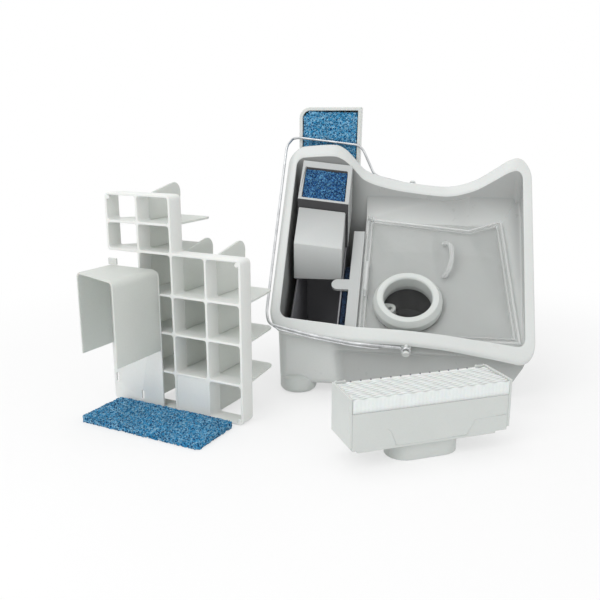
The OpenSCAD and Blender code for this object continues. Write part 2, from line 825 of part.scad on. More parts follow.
module cell_plate() color(light) at_baffle() {
    face_plate(0.6, 3) translate([2 * cell_w + rib_t / 2, row_high(0)])
        square([cell_w - rib_t, row_low(1) - row_high(0)]);
}

panel_t = 2.5;
panel_slots = [[4, 25], [44, 8]];
slot_size = [3, 11];
tab_size = [13, 8];

module baffle_panel() color(light) at_baffle() {
    face_plate(-panel_t, 0) difference() {
        polygon(rounded(hood_w, hood_top - 2, 6));
        for (p = panel_slots) translate(p) square(slot_size);
    }
}

// Inverted channel whose open end is cut at an angle
module hood() color(pale) at_baffle() {
    t = 2.5;
    r = 8;
    reach = hood_right;
    outline = [
        [0, hood_bottom],
        for (a = [180:-15:90]) [r + r * cos(a), hood_top - r + r * sin(a)],
        for (a = [90:-15:0]) [hood_w - r + r * cos(a), hood_top - r + r * sin(a)],
        [hood_w, hood_bottom], [hood_w - t, hood_bottom],
        for (a = [0:15:90]) [hood_w - r + (r - t) * cos(a), hood_top - r + (r - t) * sin(a)],
        for (a = [90:15:180]) [r + (r - t) * cos(a), hood_top - r + (r - t) * sin(a)],
        [t, hood_bottom]
    ];
    difference() {
        face_plate(-reach, -panel_t) polygon(outline);
        translate([0, 0, hood_bottom - 1]) linear_extrude(hood_top)
            polygon([[-1, -hood_left], [hood_w + 1, -hood_right], [hood_w + 1, -reach - 20], [-1, -reach - 20]]);
    }
}

module hood_tab() color(pale) at_baffle() {
    translate([2, -panel_t, hood_top]) cube([tab_size[0], panel_t, tab_size[1]]);
}

// Cassette: local X along its length, front bottom left corner over the origin
cassette_place = [-44.5, -tank_d / 2 - 212.9, 0];
cassette_turn = 27;
cassette_wall = 2.5;

module at_cassette(z = 0) {
    translate(cassette_place) rotate([0, 0, cassette_turn]) translate([0, 0, z]) children();
}

module oval(l, d) {
    polygon([
        for (a = [-90:15:90]) [l / 2 - d / 2 + d / 2 * cos(a), d / 2 * sin(a)],
        for (a = [90:15:270]) [-l / 2 + d / 2 + d / 2 * cos(a), d / 2 * sin(a)]
    ]);
}

module cassette_housing() color(light) at_cassette(neck_h) {
    w = cassette_wall;
    difference() {
        translate([3, 0, 0]) cube([cassette_l - 6, cassette_d, housing_h]);
        translate([3 + w, w, w]) cube([cassette_l - 6 - 2 * w, cassette_d - 2 * w, housing_h]);
        translate([cassette_l / 2, cassette_d / 2, -1]) linear_extrude(2 * w + 2) oval(neck_l - 6, neck_d - 6);
        for (x = [2.9, cassette_l - 17]) translate([x, -1, -1]) cube([x < 10 ? 6.1 : 14.1, cassette_d + 2, 1 + w * 0.9]);
    }
    // sunk panels of the front face stand out as two thin ribs
    for (x = [38, cassette_l - 46]) translate([x, -0.8, 6]) cube([2, 0.8, housing_h - 14]);
    translate([3, -0.8, 3]) cube([cassette_l - 20, 0.8, 2]);
}

module cassette_ends() color(light) at_cassette(neck_h) {
    for (x = [0, cassette_l - 3]) translate([x, 0, 6]) cube([3, cassette_d, housing_h + media_h - 6 + 1]);
    for (x = [3, cassette_l - 15]) translate([x, cassette_d - 3, housing_h]) difference() {
        cube([12, 3, media_h + 2]);
        translate([3, -1, media_h - 4]) cube([6, 5, 3]);
    }
}

module cassette_neck() color(light) at_cassette() {
    translate([cassette_l / 2, cassette_d / 2, 0]) difference() {
        linear_extrude(neck_h) oval(neck_l, neck_d);
        translate([0, 0, -1]) linear_extrude(neck_h + 2) oval(neck_l - 6, neck_d - 6);
    }
}

// Pleats run along the cassette, with round crests
media_gap = 0.3;

module pleated_media() color(white) at_cassette(neck_h + housing_h + media_gap) {
    d = cassette_d - 1;
    pitch = (d - 4) / pleats;
    crest = 2.2;
    base = media_h - crest;
    outline = [
        [0, 0], [0, base],
        for (i = [0:pleats - 1], a = [0:45:180])
            [pitch * (i + 0.5 - 0.46 * cos(a)), base + crest * sin(a)],
        [d - 4, base], [d - 4, 0]
    ];
    side_prism(3 + media_gap, cassette_l - 3 - media_gap, [for (p = outline) p + [gap, 0]]);
}

module media_comb() color(white) at_cassette(neck_h + housing_h) {
    teeth = 13;
    step = (cassette_l - 34) / teeth;
    translate([15, cassette_d - 3, 0]) {
        cube([cassette_l - 30, 2.6, media_h - 2]);
        for (i = [0:teeth - 1]) translate([2 + i * step, 0, media_h - 2]) cube([step * 0.55, 2.6, 3]);
    }
}

pad_place = [-tank_w / 2 - 131, -tank_d / 2 - 129, 0];
pad_turn = -18.5;

module foam_pad() color(blue) {
    translate(pad_place) rotate([0, 0, pad_turn]) translate([-pad_l / 2, -pad_d / 2, 0])
        linear_extrude(pad_t) polygon(rounded(pad_l, pad_d, 5));
}

translate(set_shift) {
    tank_shell();
    tank_feet();
    front_pivot();
    back_pivot();
    inner_deck();
    suction_tube();
    tube_lug();
    tube_end_cap();
    divider();
    chamber_liner();
    foam_holder();
    holder_foam();
    duct_box();
    side_foam();
    cover_plate();
    cover_handle();
    side_latch();
    collar();
    collar_seal();
    bail();
    tall_tray();
    tall_foam();
    baffle_rows();
    baffle_posts();
    baffle_shelf();
    baffle_ribs();
    cell_plate();
    baffle_panel();
    hood();
    hood_tab();
    cassette_housing();
    cassette_ends();
    cassette_neck();
    pleated_media();
    media_comb();
    foam_pad();
}
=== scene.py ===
"""Looks of the water filter set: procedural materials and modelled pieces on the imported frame."""
import bpy
import bmesh
import json
import math
import random
from contextlib import contextmanager
from mathutils import Vector, Matrix, noise


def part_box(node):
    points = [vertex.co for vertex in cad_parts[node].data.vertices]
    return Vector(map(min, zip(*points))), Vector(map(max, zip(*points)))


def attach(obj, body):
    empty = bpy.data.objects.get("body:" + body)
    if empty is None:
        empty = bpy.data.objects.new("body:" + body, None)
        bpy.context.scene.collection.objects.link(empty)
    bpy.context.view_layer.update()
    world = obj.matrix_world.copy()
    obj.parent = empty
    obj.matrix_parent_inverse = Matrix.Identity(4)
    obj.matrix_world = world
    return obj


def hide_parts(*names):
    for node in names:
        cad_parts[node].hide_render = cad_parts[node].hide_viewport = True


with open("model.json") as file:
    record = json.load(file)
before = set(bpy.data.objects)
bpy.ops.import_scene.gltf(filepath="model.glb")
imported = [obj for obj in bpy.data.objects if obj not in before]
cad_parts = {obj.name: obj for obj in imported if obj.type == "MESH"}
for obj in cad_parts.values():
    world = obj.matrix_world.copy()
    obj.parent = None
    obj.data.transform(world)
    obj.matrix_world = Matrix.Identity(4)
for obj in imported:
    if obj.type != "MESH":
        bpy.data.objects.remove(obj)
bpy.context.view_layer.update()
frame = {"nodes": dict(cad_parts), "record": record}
nodes = frame["nodes"]
# The record's body of each node
BODY_OF = {n: body for body, members in frame["record"]["behaviour"]["bodies"].items() for n in members}
# Without a seed, noise vectors would start from the clock and differ in each run
noise.seed_set(7)

MM = 0.001
# Place of the tank's own origin in the row frame, in millimetres
SHIFT = Vector((101.84, 76.95, 0.0))
# Shared settings of the mesh helpers
MERGE_DISTANCE = 1e-5
FLAT_ANGLE = math.radians(0.6)
SHARP_ANGLE = 30
BEVEL_SEGMENTS = 3


def at(x, y, z):
    """Point of the tank's own frame, in millimetres, as a point of the row frame in metres."""
    return (Vector((x, y, z)) + SHIFT) * MM


# ---------------------------------------------------------------- materials
class Tree:
    """A node material under construction; its methods add nodes and return their outputs."""

    def __init__(self, name):
        self.mat = bpy.data.materials.new(name)
        self.mat.use_nodes = True
        self.nt = self.mat.node_tree
        self.nt.nodes.clear()
        self.out = self.nt.nodes.new("ShaderNodeOutputMaterial")
        self.coord = self.nt.nodes.new("ShaderNodeTexCoord").outputs["Object"]

    def add(self, kind, values=None, **props):
        """New node with its properties set and its inputs set or linked."""
        n = self.nt.nodes.new(kind)
        for k, v in props.items():
            setattr(n, k, v)
        for k, v in (values or {}).items():
            if isinstance(v, bpy.types.NodeSocket):
                self.nt.links.new(v, n.inputs[k])
            else:
                n.inputs[k].default_value = v
        return n

    def noise(self, scale, detail=4.0, rough=0.5, vector=None):
        """Noise of so many cells a metre."""
        values = {"Vector": vector or self.coord, "Scale": scale, "Detail": detail, "Roughness": rough}
        return self.add("ShaderNodeTexNoise", values).outputs["Fac"]

    def stretch(self, scale, turn=(0, 0, 0)):
        """Object coordinates scaled and turned, for streaks."""
        values = {"Vector": self.coord, "Scale": scale, "Rotation": turn}
        return self.add("ShaderNodeMapping", values).outputs["Vector"]

    def ramp(self, fac, stops, interpolation="LINEAR"):
        """Colour ramp through (position, colour) stops."""
        r = self.add("ShaderNodeValToRGB", {"Fac": fac})
        r.color_ramp.interpolation = interpolation
        els = r.color_ramp.elements
        while len(els) < len(stops):
            els.new(0.5)
        for e, (p, c) in zip(els, stops):
            e.position = p
            e.color = c if len(c) == 4 else (*c, 1)
        return r.outputs["Color"]

    def mix(self, fac, a, b, blend="MIX"):
        """Two colours mixed; inputs 6 and 7 of Blender's node are its colours."""
        a, b = (v if isinstance(v, bpy.types.NodeSocket) else (*v, 1) for v in (a, b))
        return self.add("ShaderNodeMix", {0: fac, 6: a, 7: b}, data_type="RGBA", blend_type=blend).outputs[2]

    def blend(self, share, a, b):
        """Two surfaces mixed by a share."""
        return self.add("ShaderNodeMixShader", {0: share, 1: a, 2: b}).outputs[0]

    def principled(self, values):
        """Blender's general surface with these inputs."""
        return self.add("ShaderNodeBsdfPrincipled", values).outputs[0]

    def finish(self, surface):
        """Links the surface to the material's output and returns the material."""
        self.nt.links.new(surface, self.out.inputs[0])
        return self.mat

    def math(self, op, a, b, clamp=False):
        """One step of arithmetic on two numbers."""
        return self.add("ShaderNodeMath", {0: a, 1: b}, operation=op, use_clamp=clamp).outputs[0]

    def scaled(self, value, factor, offset):
        """value * factor + offset."""
        return self.math("ADD", self.math("MULTIPLY", value, factor), offset)

    def tone(self):
        """The mesh's painted shade per vertex, written by shade(), 1 where it is left unshaded."""
        return self.add("ShaderNodeAttribute", attribute_name="tone").outputs["Color"]

    def bump(self, height, strength, distance, normal=None):
        """Fine relief, over another relief where normal is given."""
        values = {"Height": height, "Strength": strength, "Distance": distance}
        if normal is not None:
            values["Normal"] = normal
        return self.add("ShaderNodeBump", values).outputs["Normal"]


def linear(rgb):
    """sRGB triple of 0 to 255 as a linear colour."""
    out = []
    for c in rgb:
        c = c / 255
        out.append(c / 12.92 if c <= 0.04045 else ((c + 0.055) / 1.055) ** 2.4)
    return tuple(out)


def times(colour, factor):
    """The colour made darker or lighter by a factor."""
    return tuple(c * factor for c in colour)


def plastic(name, rgb, rough=0.36, sss=0.04, painted_shading=False, thin=0.0):
    """Moulded plastic: slight mottling, fine grain, faint scuffs, uneven gloss.

    thin is the share of light that comes through a thin wall.
    """
    t = Tree(name)
    base = linear(rgb)
    light = tuple(min(c * 1.04, 1) for c in base)
    mottled = t.mix(t.noise(14, 3), times(base, 0.93), light)
    speck = t.ramp(t.noise(520, 2), [(0.3, (0.965,) * 3), (0.52, (1, 1, 1))])
    colour = t.mix(0.6, mottled, speck, "MULTIPLY")
    scratch = t.noise(1.0, 3, 0.6, t.stretch((900, 60, 60), (0.3, 0.5, 0.9)))
    lines = t.ramp(scratch, [(0.66, (0, 0, 0)), (0.72, (1, 1, 1))])
    colour = t.mix(t.math("MULTIPLY", lines, 0.045), colour, light)
    # painted shade: the colour is darkened by the mesh's per-vertex shade
    if painted_shading:
        colour = t.mix(1.0, colour, t.tone(), "MULTIPLY")
    gloss = t.scaled(t.noise(45, 5, 0.6), 0.16, rough - 0.08)
    gloss = t.math("ADD", gloss, t.math("MULTIPLY", lines, 0.05), clamp=True)
    grain = t.bump(t.noise(1500, 2, 0.6), 0.07, 0.0002)
    wavy = t.bump(t.noise(26, 2), 0.1, 0.0012, grain)
    surface = t.principled({"Base Color": colour, "Roughness": gloss, "Normal": wavy, "IOR": 1.47,
                            "Subsurface Weight": sss, "Subsurface Scale": 0.004})
    if thin:
        through = t.add("ShaderNodeBsdfTranslucent", {"Color": colour}).outputs[0]
        surface = t.blend(thin, surface, through)
    return t.finish(surface)


def clear_plastic(name, rgb, body):
    """Thin clear plastic: mostly see-through, with a pale body, flow marks and gloss at flat angles."""
    t = Tree(name)
    base = linear(rgb)
    colour = t.mix(t.noise(22, 3), times(base, 0.95), base)
    rough = t.scaled(t.noise(60, 4), 0.12, 0.1)
    flow = t.bump(t.noise(1.0, 3, 0.5, t.stretch((30, 12, 12))), 0.12, 0.001)
    solid = t.principled({"Base Color": colour, "Roughness": rough, "Normal": flow, "IOR": 1.45})
    through = t.add("ShaderNodeBsdfTransparent", {"Color": (0.985, 0.987, 0.986, 1)}).outputs[0]
    facing = t.add("ShaderNodeLayerWeight", {"Blend": 0.5, "Normal": flow}).outputs["Facing"]
    glancing = t.math("MULTIPLY", t.math("POWER", facing, 4.0), 0.7)
    uneven = t.math("MULTIPLY", t.noise(12, 3), body * 0.4)
    share = t.math("ADD", t.math("ADD", glancing, uneven), body * 0.8, clamp=True)
    return t.finish(t.blend(share, through, solid))


def foam(name, painted_shade_dark, mid, bright, cell, glint_share):
    """Open-cell foam: a web of brighter strands, with the pores painted dark as shade and painted glints on
    the strands.
    """
    t = Tree(name)
    jitter = t.add("ShaderNodeTexNoise", {"Vector": t.coord, "Scale": 260.0, "Detail": 2.0}).outputs["Color"]
    warp = t.add("ShaderNodeVectorMath", {0: jitter, 1: (0.0022,) * 3, 2: t.coord}, operation="MULTIPLY_ADD")
    where = {"Vector": warp.outputs[0], "Scale": 1 / cell}
    edge = t.add("ShaderNodeTexVoronoi", where, feature="DISTANCE_TO_EDGE")
    cells = t.add("ShaderNodeTexVoronoi", where, feature="F1")
    strands = [(0.03, (1, 1, 1)), (0.14, (0.75,) * 3), (0.26, (0.12,) * 3), (0.5, (0, 0, 0))]
    web = t.ramp(edge.outputs["Distance"], strands)
    # painted shade: the pores take the dark colour, the strands the mid colour
    colour = t.mix(web, linear(painted_shade_dark), linear(mid))
    # painted glints: patches of the bright colour on the strands
    painted_glint = t.ramp(t.noise(300, 3, 0.75), [(0.46, (0, 0, 0)), (0.6, (1, 1, 1))])
    colour = t.mix(t.math("MULTIPLY", t.math("MULTIPLY", painted_glint, web), glint_share), colour, linear(bright))
    broad = t.ramp(t.noise(30, 3), [(0.3, (0.86,) * 3), (0.7, (1.06,) * 3)])
    colour = t.mix(1.0, colour, broad, "MULTIPLY")
    height = t.math("ADD", t.math("MULTIPLY", web, 0.8), t.math("MULTIPLY", cells.outputs["Distance"], -0.6))
    return t.finish(t.principled({
        "Base Color": colour, "Roughness": t.scaled(web, -0.25, 0.85), "Normal": t.bump(height, 0.9, 0.0016),
        "Sheen Weight": 0.03, "Specular IOR Level": 0.25}))


def paper(name, rgb, painted_shading=False):
    """Folded filter paper with fibres."""
    t = Tree(name)
    base = linear(rgb)
    fibres = t.noise(1.0, 4, 0.7, t.stretch((420, 90, 420), (0, 0, 0.47)))
    colour = t.mix(fibres, times(base, 0.93), base)
    blot = t.ramp(t.noise(90, 4), [(0.35, (0.955,) * 3), (0.65, (1, 1, 1))])
    colour = t.mix(0.8, colour, blot, "MULTIPLY")
    # painted shade: the colour is darkened by the mesh's per-vertex shade
    if painted_shading:
        colour = t.mix(1.0, colour, t.tone(), "MULTIPLY")
    relief = t.bump(t.math("ADD", fibres, t.noise(700, 3)), 0.3, 0.0004)
    return t.finish(t.principled({
        "Base Color": colour, "Roughness": t.scaled(fibres, 0.1, 0.78), "Normal": relief,
        "Subsurface Weight": 0.12, "Subsurface Scale": 0.003, "Sheen Weight": 0.1}))


def steel(name):
    """Drawn wire: lengthwise streaks and slight tarnish."""
    t = Tree(name)
    streak = t.noise(1.0, 4, 0.6, t.stretch((700, 90, 90)))
    tarnish = t.ramp(t.noise(70, 4), [(0.35, (0.5, 0.51, 0.52)), (0.7, (0.72, 0.73, 0.74))])
    return t.finish(t.principled({
        "Base Color": tarnish, "Metallic": 1.0, "Roughness": t.scaled(streak, 0.2, 0.2),
        "Normal": t.bump(streak, 0.2, 0.0002)}))


def rubber(name, rgb):
    """Dusty soft rubber."""
    t = Tree(name)
    base = linear(rgb)
    colour = t.mix(t.noise(60, 4), times(base, 0.8), times(base, 1.25))
    dust = t.ramp(t.noise(300, 4, 0.7), [(0.6, (0, 0, 0)), (0.75, (0.12,) * 3)])
    colour = t.mix(1.0, colour, dust, "ADD")
    return t.finish(t.principled({
        "Base Color": colour, "Roughness": t.scaled(t.noise(120, 3), 0.2, 0.55),
        "Normal": t.bump(t.noise(1200, 2), 0.2, 0.0003)}))


LOOK = {
    "pale": plastic("pale_plastic", (216, 219, 216)),
    "rim": plastic("rim_plastic", (213, 216, 214), rough=0.3, painted_shading=True),
    "light": plastic("light_plastic", (208, 212, 209)),
    "duct": plastic("duct_plastic", (200, 203, 202), rough=0.34, painted_shading=True),
    "bright": plastic("bright_plastic", (230, 232, 229)),
    "thin": plastic("thin_plastic", (233, 236, 232), thin=0.3),
    "dark": plastic("dark_plastic", (140, 140, 144), rough=0.42, sss=0.0),
    # dark plastic as painted shade: in the holder's gap, on the liner's edge and in the suction tube's bore
    "painted_shade_dark": plastic("painted_shade_plastic", (52, 52, 54), rough=0.5, sss=0.0),
    "clear": clear_plastic("clear_plastic", (236, 237, 236), 0.07),
    "edge": clear_plastic("clear_edge", (236, 238, 237), 0.4),
    "navy": foam("navy_foam", (0, 18, 52), (6, 82, 144), (130, 200, 236), 0.0030, 0.55),
    # the side foam: the navy foam's colours darkened, painted shade for the dark chamber
    "painted_shade_navy": foam("painted_shade_navy_foam", (2, 8, 20), (8, 31, 60), (44, 82, 114), 0.0030, 0.4),
    "blue": foam("blue_foam", (6, 56, 104), (44, 144, 196), (190, 230, 244), 0.0030, 0.55),
    "sky": foam("sky_foam", (6, 60, 112), (50, 150, 200), (196, 232, 246), 0.0032, 0.55),
    "paper": paper("filter_paper", (238, 239, 237)),
    "pleats": paper("pleat_paper", (246, 247, 245), painted_shading=True),
    "steel": steel("steel_wire"),
    "rubber": rubber("seal_rubber", (58, 60, 62)),
}


# ---------------------------------------------------------------- mesh helpers
def smooth(a, b, x):
    """Soft step from 0 at a to 1 at b."""
    t = min(max((x - a) / (b - a), 0), 1)
    return t * t * (3 - 2 * t)


def linked(name, data):
    """New object in the scene with this mesh, curve, camera or light."""
    ob = bpy.data.objects.new(name, data)
    bpy.context.collection.objects.link(ob)
    return ob


def smooth_faces(mesh, sharp_angle=None):
    """Smooth shading, kept sharp at edges steeper than the angle in degrees."""
    for p in mesh.polygons:
        p.use_smooth = True
    if sharp_angle is not None:
        mesh.set_sharp_from_angle(angle=math.radians(sharp_angle))


def skin_faces(rings, n):
    """Faces of a skin through rings of n points each, closed at both ends."""
    faces = []
    for i in range(rings - 1):
        for j in range(n):
            a, b = i * n + j, i * n + (j + 1) % n
            faces.append([a, b, b + n, a + n])
    faces.append(list(range(n))[::-1])
    faces.append([(rings - 1) * n + j for j in range(n)])
    return faces


def new_object(name, verts, faces, mat, soft=True):
    """Object made of points and faces, smooth unless soft is False."""
    me = bpy.data.meshes.new(name)
    me.from_pydata([tuple(v) for v in verts], [], faces)
    me.update()
    ob = linked(name, me)
    me.materials.append(mat)
    if soft:
        smooth_faces(me)
    return ob


@contextmanager
def editing(mesh):
    """The mesh as a bmesh, written back at the end."""
    bm = bmesh.new()
    bm.from_mesh(mesh)
    yield bm
    bm.to_mesh(mesh)
    bm.free()


def shade(ob, painted_shades):
    """Writes one painted shade per vertex for the materials that are darkened by it."""
    layer = ob.data.color_attributes.new("tone", "FLOAT_COLOR", "POINT")
    for k, tone in enumerate(painted_shades):
        layer.data[k].color = (tone, tone, tone, 1)


def second_material(ob, mat, chosen):
    """Gives another material to the faces for which chosen(face) is true."""
    ob.data.materials.append(mat)
    for p in ob.data.polygons:
        if chosen(p):
            p.material_index = 1


def tidy_copy(node, name, mat):
    """A copy of a CAD node's mesh with joined vertices and flat areas merged."""
    src = nodes[node]
    me = bpy.data.meshes.new(name)
    bm = bmesh.new()
    bm.from_mesh(src.data)
    bm.transform(src.matrix_world)
    bmesh.ops.remove_doubles(bm, verts=bm.verts, dist=MERGE_DISTANCE)
    bmesh.ops.dissolve_limit(bm, angle_limit=FLAT_ANGLE, verts=bm.verts, edges=bm.edges)
    bm.normal_update()
    bm.to_mesh(me)
    bm.free()
    me.materials.clear()
    me.materials.append(mat)
    ob = linked(name, me)
    smooth_faces(me, SHARP_ANGLE)
    return ob


def bevel(ob, width):
    """Rounds the sharp edges."""
    b = ob.modifiers.new("round", "BEVEL")
    b.width = width
    b.segments = BEVEL_SEGMENTS
    b.limit_method = "ANGLE"
    b.angle_limit = math.radians(SHARP_ANGLE)
    b.harden_normals = True
    b.miter_outer = "MITER_ARC"


def finish_piece(ob, node):
    """Makes the piece stand for a CAD node, on the node's body, and hides the node."""
    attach(ob, BODY_OF[node])
    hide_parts(node)


def dress(node, mat, width, tone=None):
    """The node's own shape with rounded edges and a detailed material, with a painted shade on its vertices
    where one is given.
    """
    ob = tidy_copy(node, node + "_shape", mat)
    if tone:
        shade(ob, [tone(*(v.co / MM - SHIFT)) for v in ob.data.vertices])
    bevel(ob, width)
    finish_piece(ob, node)
    return ob


def evaluated_mesh(ob, mat):
    """The mesh that ob's modifiers or curve settings make, with one material."""
    bpy.context.view_layer.update()
    graph = bpy.context.evaluated_depsgraph_get()
    me = bpy.data.meshes.new_from_object(ob.evaluated_get(graph))
    me.materials.clear()
    me.materials.append(mat)
    return me


def voxel_mesh(ob, size):
    """Replaces ob's mesh by its voxel remesh."""
    m = ob.modifiers.new("voxels", "REMESH")
    m.mode = "VOXEL"
    m.voxel_size = size
    old = ob.data
    ob.data = evaluated_mesh(ob, old.materials[0])
    ob.modifiers.clear()
    bpy.data.meshes.remove(old)


def foam_piece(node, mat, voxel, depth, cell, seed):
    """Open-cell foam: the node's block, remeshed, with pores eaten into every face.

    depth is that of a pore, and cell the distance between two pores.
    """
    ob = tidy_copy(node, node + "_foam", mat)
    voxel_mesh(ob, voxel)
    me = ob.data
    off = Vector((seed * 1.7, seed * 0.9, seed * 2.3))
    moves = []
    for v in me.vertices:
        p = v.co / cell + off
        near = noise.voronoi(p)[0]
        # a strand stands where the two nearest pores are about equally far
        pore = smooth(0.06, 0.42, near[1] - near[0])
        cut = (0.12 + 0.88 * pore) * depth * (0.75 + 0.5 * noise.noise(p * 0.45))
        tilt = noise.noise_vector(p * 1.1 - off) * depth * 0.3
        moves.append(-v.normal * cut + tilt)
    lo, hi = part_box(node)
    for v, move in zip(me.vertices, moves):
        q = v.co + move
        for k in range(3):
            q[k] = min(max(q[k], lo[k]), hi[k])
        v.co = q
    smooth_faces(me)
    me.update()
    finish_piece(ob, node)


def plate(name, outline, thick, mat, matrix, round_edge):
    """Flat plate: outline in local XY, thickness along local +Z, placed by matrix."""
    n = len(outline)
    verts = [(x, y, 0) for x, y in outline] + [(x, y, thick) for x, y in outline]
    faces = [list(range(n))[::-1], [n + i for i in range(n)]]
    faces += [[i, (i + 1) % n, n + (i + 1) % n, n + i] for i in range(n)]
    ob = new_object(name, [matrix @ Vector(v) for v in verts], faces, mat)
    with editing(ob.data) as bm:
        bmesh.ops.recalc_face_normals(bm, faces=bm.faces)
    smooth_faces(ob.data, SHARP_ANGLE)
    bevel(ob, round_edge)
    return ob


def rounded_rect(x0, y0, x1, y1, r, n):
    """Rectangle with corners of radius r, each turned in n steps."""
    left, right, low, high = x0 + r, x1 - r, y0 + r, y1 - r
    pts = []
    for cx, cy, start in ((right, high, 0), (left, high, 90), (left, low, 180), (right, low, 270)):
        for i in range(n + 1):
            a = math.radians(start + 90 * i / n)
            pts.append((cx + r * math.cos(a), cy + r * math.sin(a)))
    return pts


def pierced(name, outer, holes, depth, mat, matrix, round_edge):
    """Plate with holes, from a filled flat curve; local Z runs through it."""
    cu = bpy.data.curves.new(name, "CURVE")
    cu.dimensions = "2D"
    cu.fill_mode = "BOTH"
    cu.extrude = depth / 2 - round_edge
    cu.bevel_depth = round_edge
    cu.bevel_resolution = 2
    cu.offset = -round_edge
    for loop in [outer] + holes:
        s = cu.splines.new("POLY")
        s.points.add(len(loop) - 1)
        for p, (x, y) in zip(s.points, loop):
            p.co = (x, y, 0, 1)
        s.use_cyclic_u = True
    tmp = linked(name + "_curve", cu)
    me = evaluated_mesh(tmp, mat)
    bpy.data.objects.remove(tmp)
    bpy.data.curves.remove(cu)
    me.transform(matrix @ Matrix.Translation((0, 0, depth / 2)))
    ob = linked(name, me)
    smooth_faces(me, 40)
    return ob


def tube_piece(name, path, r, mat, sides):
    """Round wire along a list of points."""
    pts = [Vector(p) for p in path]
    last = len(pts) - 1
    verts = []
    up = None
    for i, p in enumerate(pts):
        ahead = (pts[min(i + 1, last)] - pts[max(i - 1, 0)]).normalized()
        if up is None:
            up = ahead.orthogonal().normalized()
        up = (up - ahead * up.dot(ahead)).normalized()
        side = ahead.cross(up)
        for k in range(sides):
            a = 2 * math.pi * k / sides
            verts.append(p + r * (up * math.cos(a) + side * math.sin(a)))
    return new_object(name, verts, skin_faces(len(pts), sides), mat)


def turned_corner(start, corner, end, n):
    """Points of a smooth bend from start to end past a corner."""
    shares = [i / n for i in range(n + 1)]
    return [start * (1 - t) ** 2 + corner * 2 * t * (1 - t) + end * t ** 2 for t in shares]


def rounded_path(points, r, n):
    """Polyline with its corners turned on bends of about radius r."""
    pts = [Vector(p) for p in points]
    out = [pts[0]]
    for a, b, c in zip(pts, pts[1:], pts[2:]):
        u, v = (a - b), (c - b)
        cut = min(r, u.length * 0.45, v.length * 0.45)
        out += turned_corner(b + u.normalized() * cut, b, b + v.normalized() * cut, n)
    out.append(pts[-1])
    return out


# ---------------------------------------------------------------- the tank's own shape
# The same named values as the part's source, in millimetres
TANK_W, TANK_D, SIDE_DRAFT, END_DRAFT = 294, 178, 3.06, 1.5
WALL, CORNER_R, FOOT_SHIFT, FOOT_H, FLOOR_T, FOOT_CHAMFER = 3, 13, -9, 12, 4, 10
RIM_FRONT, FRONT_FALL, RIM_BACK, SADDLE = 91, 36, 308, 56
FLANGE_SIDE, FLANGE_END, FLANGE_T, TOP_Z = 9.5, 11, 7, 330
# The recess in the front wall: its depth, its top, and its left edge, which leans
RECESS_D, RECESS_Z, RECESS_X, RECESS_LEAN, RECESS_MIDDLE_Z = 10, 60, -80, 0.16, 40
SHOULDER, SHOULDER_Z = 13, 48
# The deck starts DECK_Y before the tank's middle; COVER_TOP is the height of the cover over it
DECK_Z, DECK_Y, DECK_PITCH, COVER_TOP = 70, 88, math.radians(39), 3.3
# Points round each loop of the tank's skin, and the share of each side and corner
LOOP_STEPS = 320
# First guess of a loop's height, before its own level is found
START_Z = 60.0
SIDE_SHARES = [0.13, 0.08, 0.21, 0.08, 0.13, 0.08, 0.21, 0.08]
MIN_CORNER_R = 4
# Radii of the flange's outer edge and of the rim's inner edge
LIP_R, INNER_EDGE_R = 2.4, 1.8
# Heights of the loops on the lower wall, closer together at the recess's top
LOW_LEVELS = [28, 36, 44, 50, 53, 55, 57, 59, 61, 63, 66]
# Loops between the lower wall and the rim
HIGH_LOOPS = 6
# Share of the smooth curve in the rim's profiles; the rest is straight between their points
CURVE_SHARE = 0.8
# The rim's height along the front and along the back, from its left (-1) to its right (1),
# as a share of FRONT_FALL and of SADDLE
FRONT_SHAPE = [(-1, 0), (-0.65, 0.2), (-0.37, 0.28), (0, 0.31), (0.3, 0.42), (0.6, 0.64), (1, 1)]
BACK_SHAPE = [(-1, 0.07), (-0.75, 0), (-0.6, 0), (-0.52, 0.12), (-0.44, 0.36), (-0.37, 0.58), (-0.26, 0.73),
              (-0.09, 0.86), (0.12, 0.95), (0.32, 1), (0.43, 0.96), (0.57, 0.82), (0.71, 0.57), (0.82, 0.36),
              (0.9, 0.29), (1, 0.32)]
RIM_X, RIM_Y = TANK_W / 2 + 25, TANK_D / 2 + 13.5


def lookup(x, table):
    """Smooth curve through the table's points."""
    if x <= table[0][0]:
        return table[0][1]
    if x >= table[-1][0]:
        return table[-1][1]
    i = max(k for k in range(len(table) - 1) if table[k][0] <= x)
    (x0, y0), (x1, y1) = table[i], table[i + 1]
    before, after = table[max(i - 1, 0)], table[min(i + 2, len(table) - 1)]
    m0 = (y1 - before[1]) / (x1 - before[0]) if x1 > before[0] else 0
    m1 = (after[1] - y0) / (after[0] - x0) if after[0] > x0 else 0
    h = x1 - x0
    t = (x - x0) / h
    v = ((2 * t ** 3 - 3 * t ** 2 + 1) * y0 + (t ** 3 - 2 * t ** 2 + t) * h * m0
         + (-2 * t ** 3 + 3 * t ** 2) * y1 + (t ** 3 - t ** 2) * h * m1)
    straight = y0 + (y1 - y0) * t
    return straight + (v - straight) * CURVE_SHARE


def rim_z(x, y):
    """Height of the rim over a point of the tank's plan."""
    f = RIM_FRONT - FRONT_FALL * lookup(x / RIM_X, FRONT_SHAPE)
    b = RIM_BACK - SADDLE * lookup(x / RIM_X, BACK_SHAPE)
    return f + (b - f) * (y + RIM_Y) / (2 * RIM_Y)


def flare(z):
    """How far the right wall stands out at height z, most at the shoulder."""
    foot = FOOT_H + FOOT_CHAMFER
    if z < SHOULDER_Z:
        return SHOULDER * max(z - foot, 0) / (SHOULDER_Z - foot)
    return SHOULDER * (TOP_Z - z) / (TOP_Z - SHOULDER_Z)


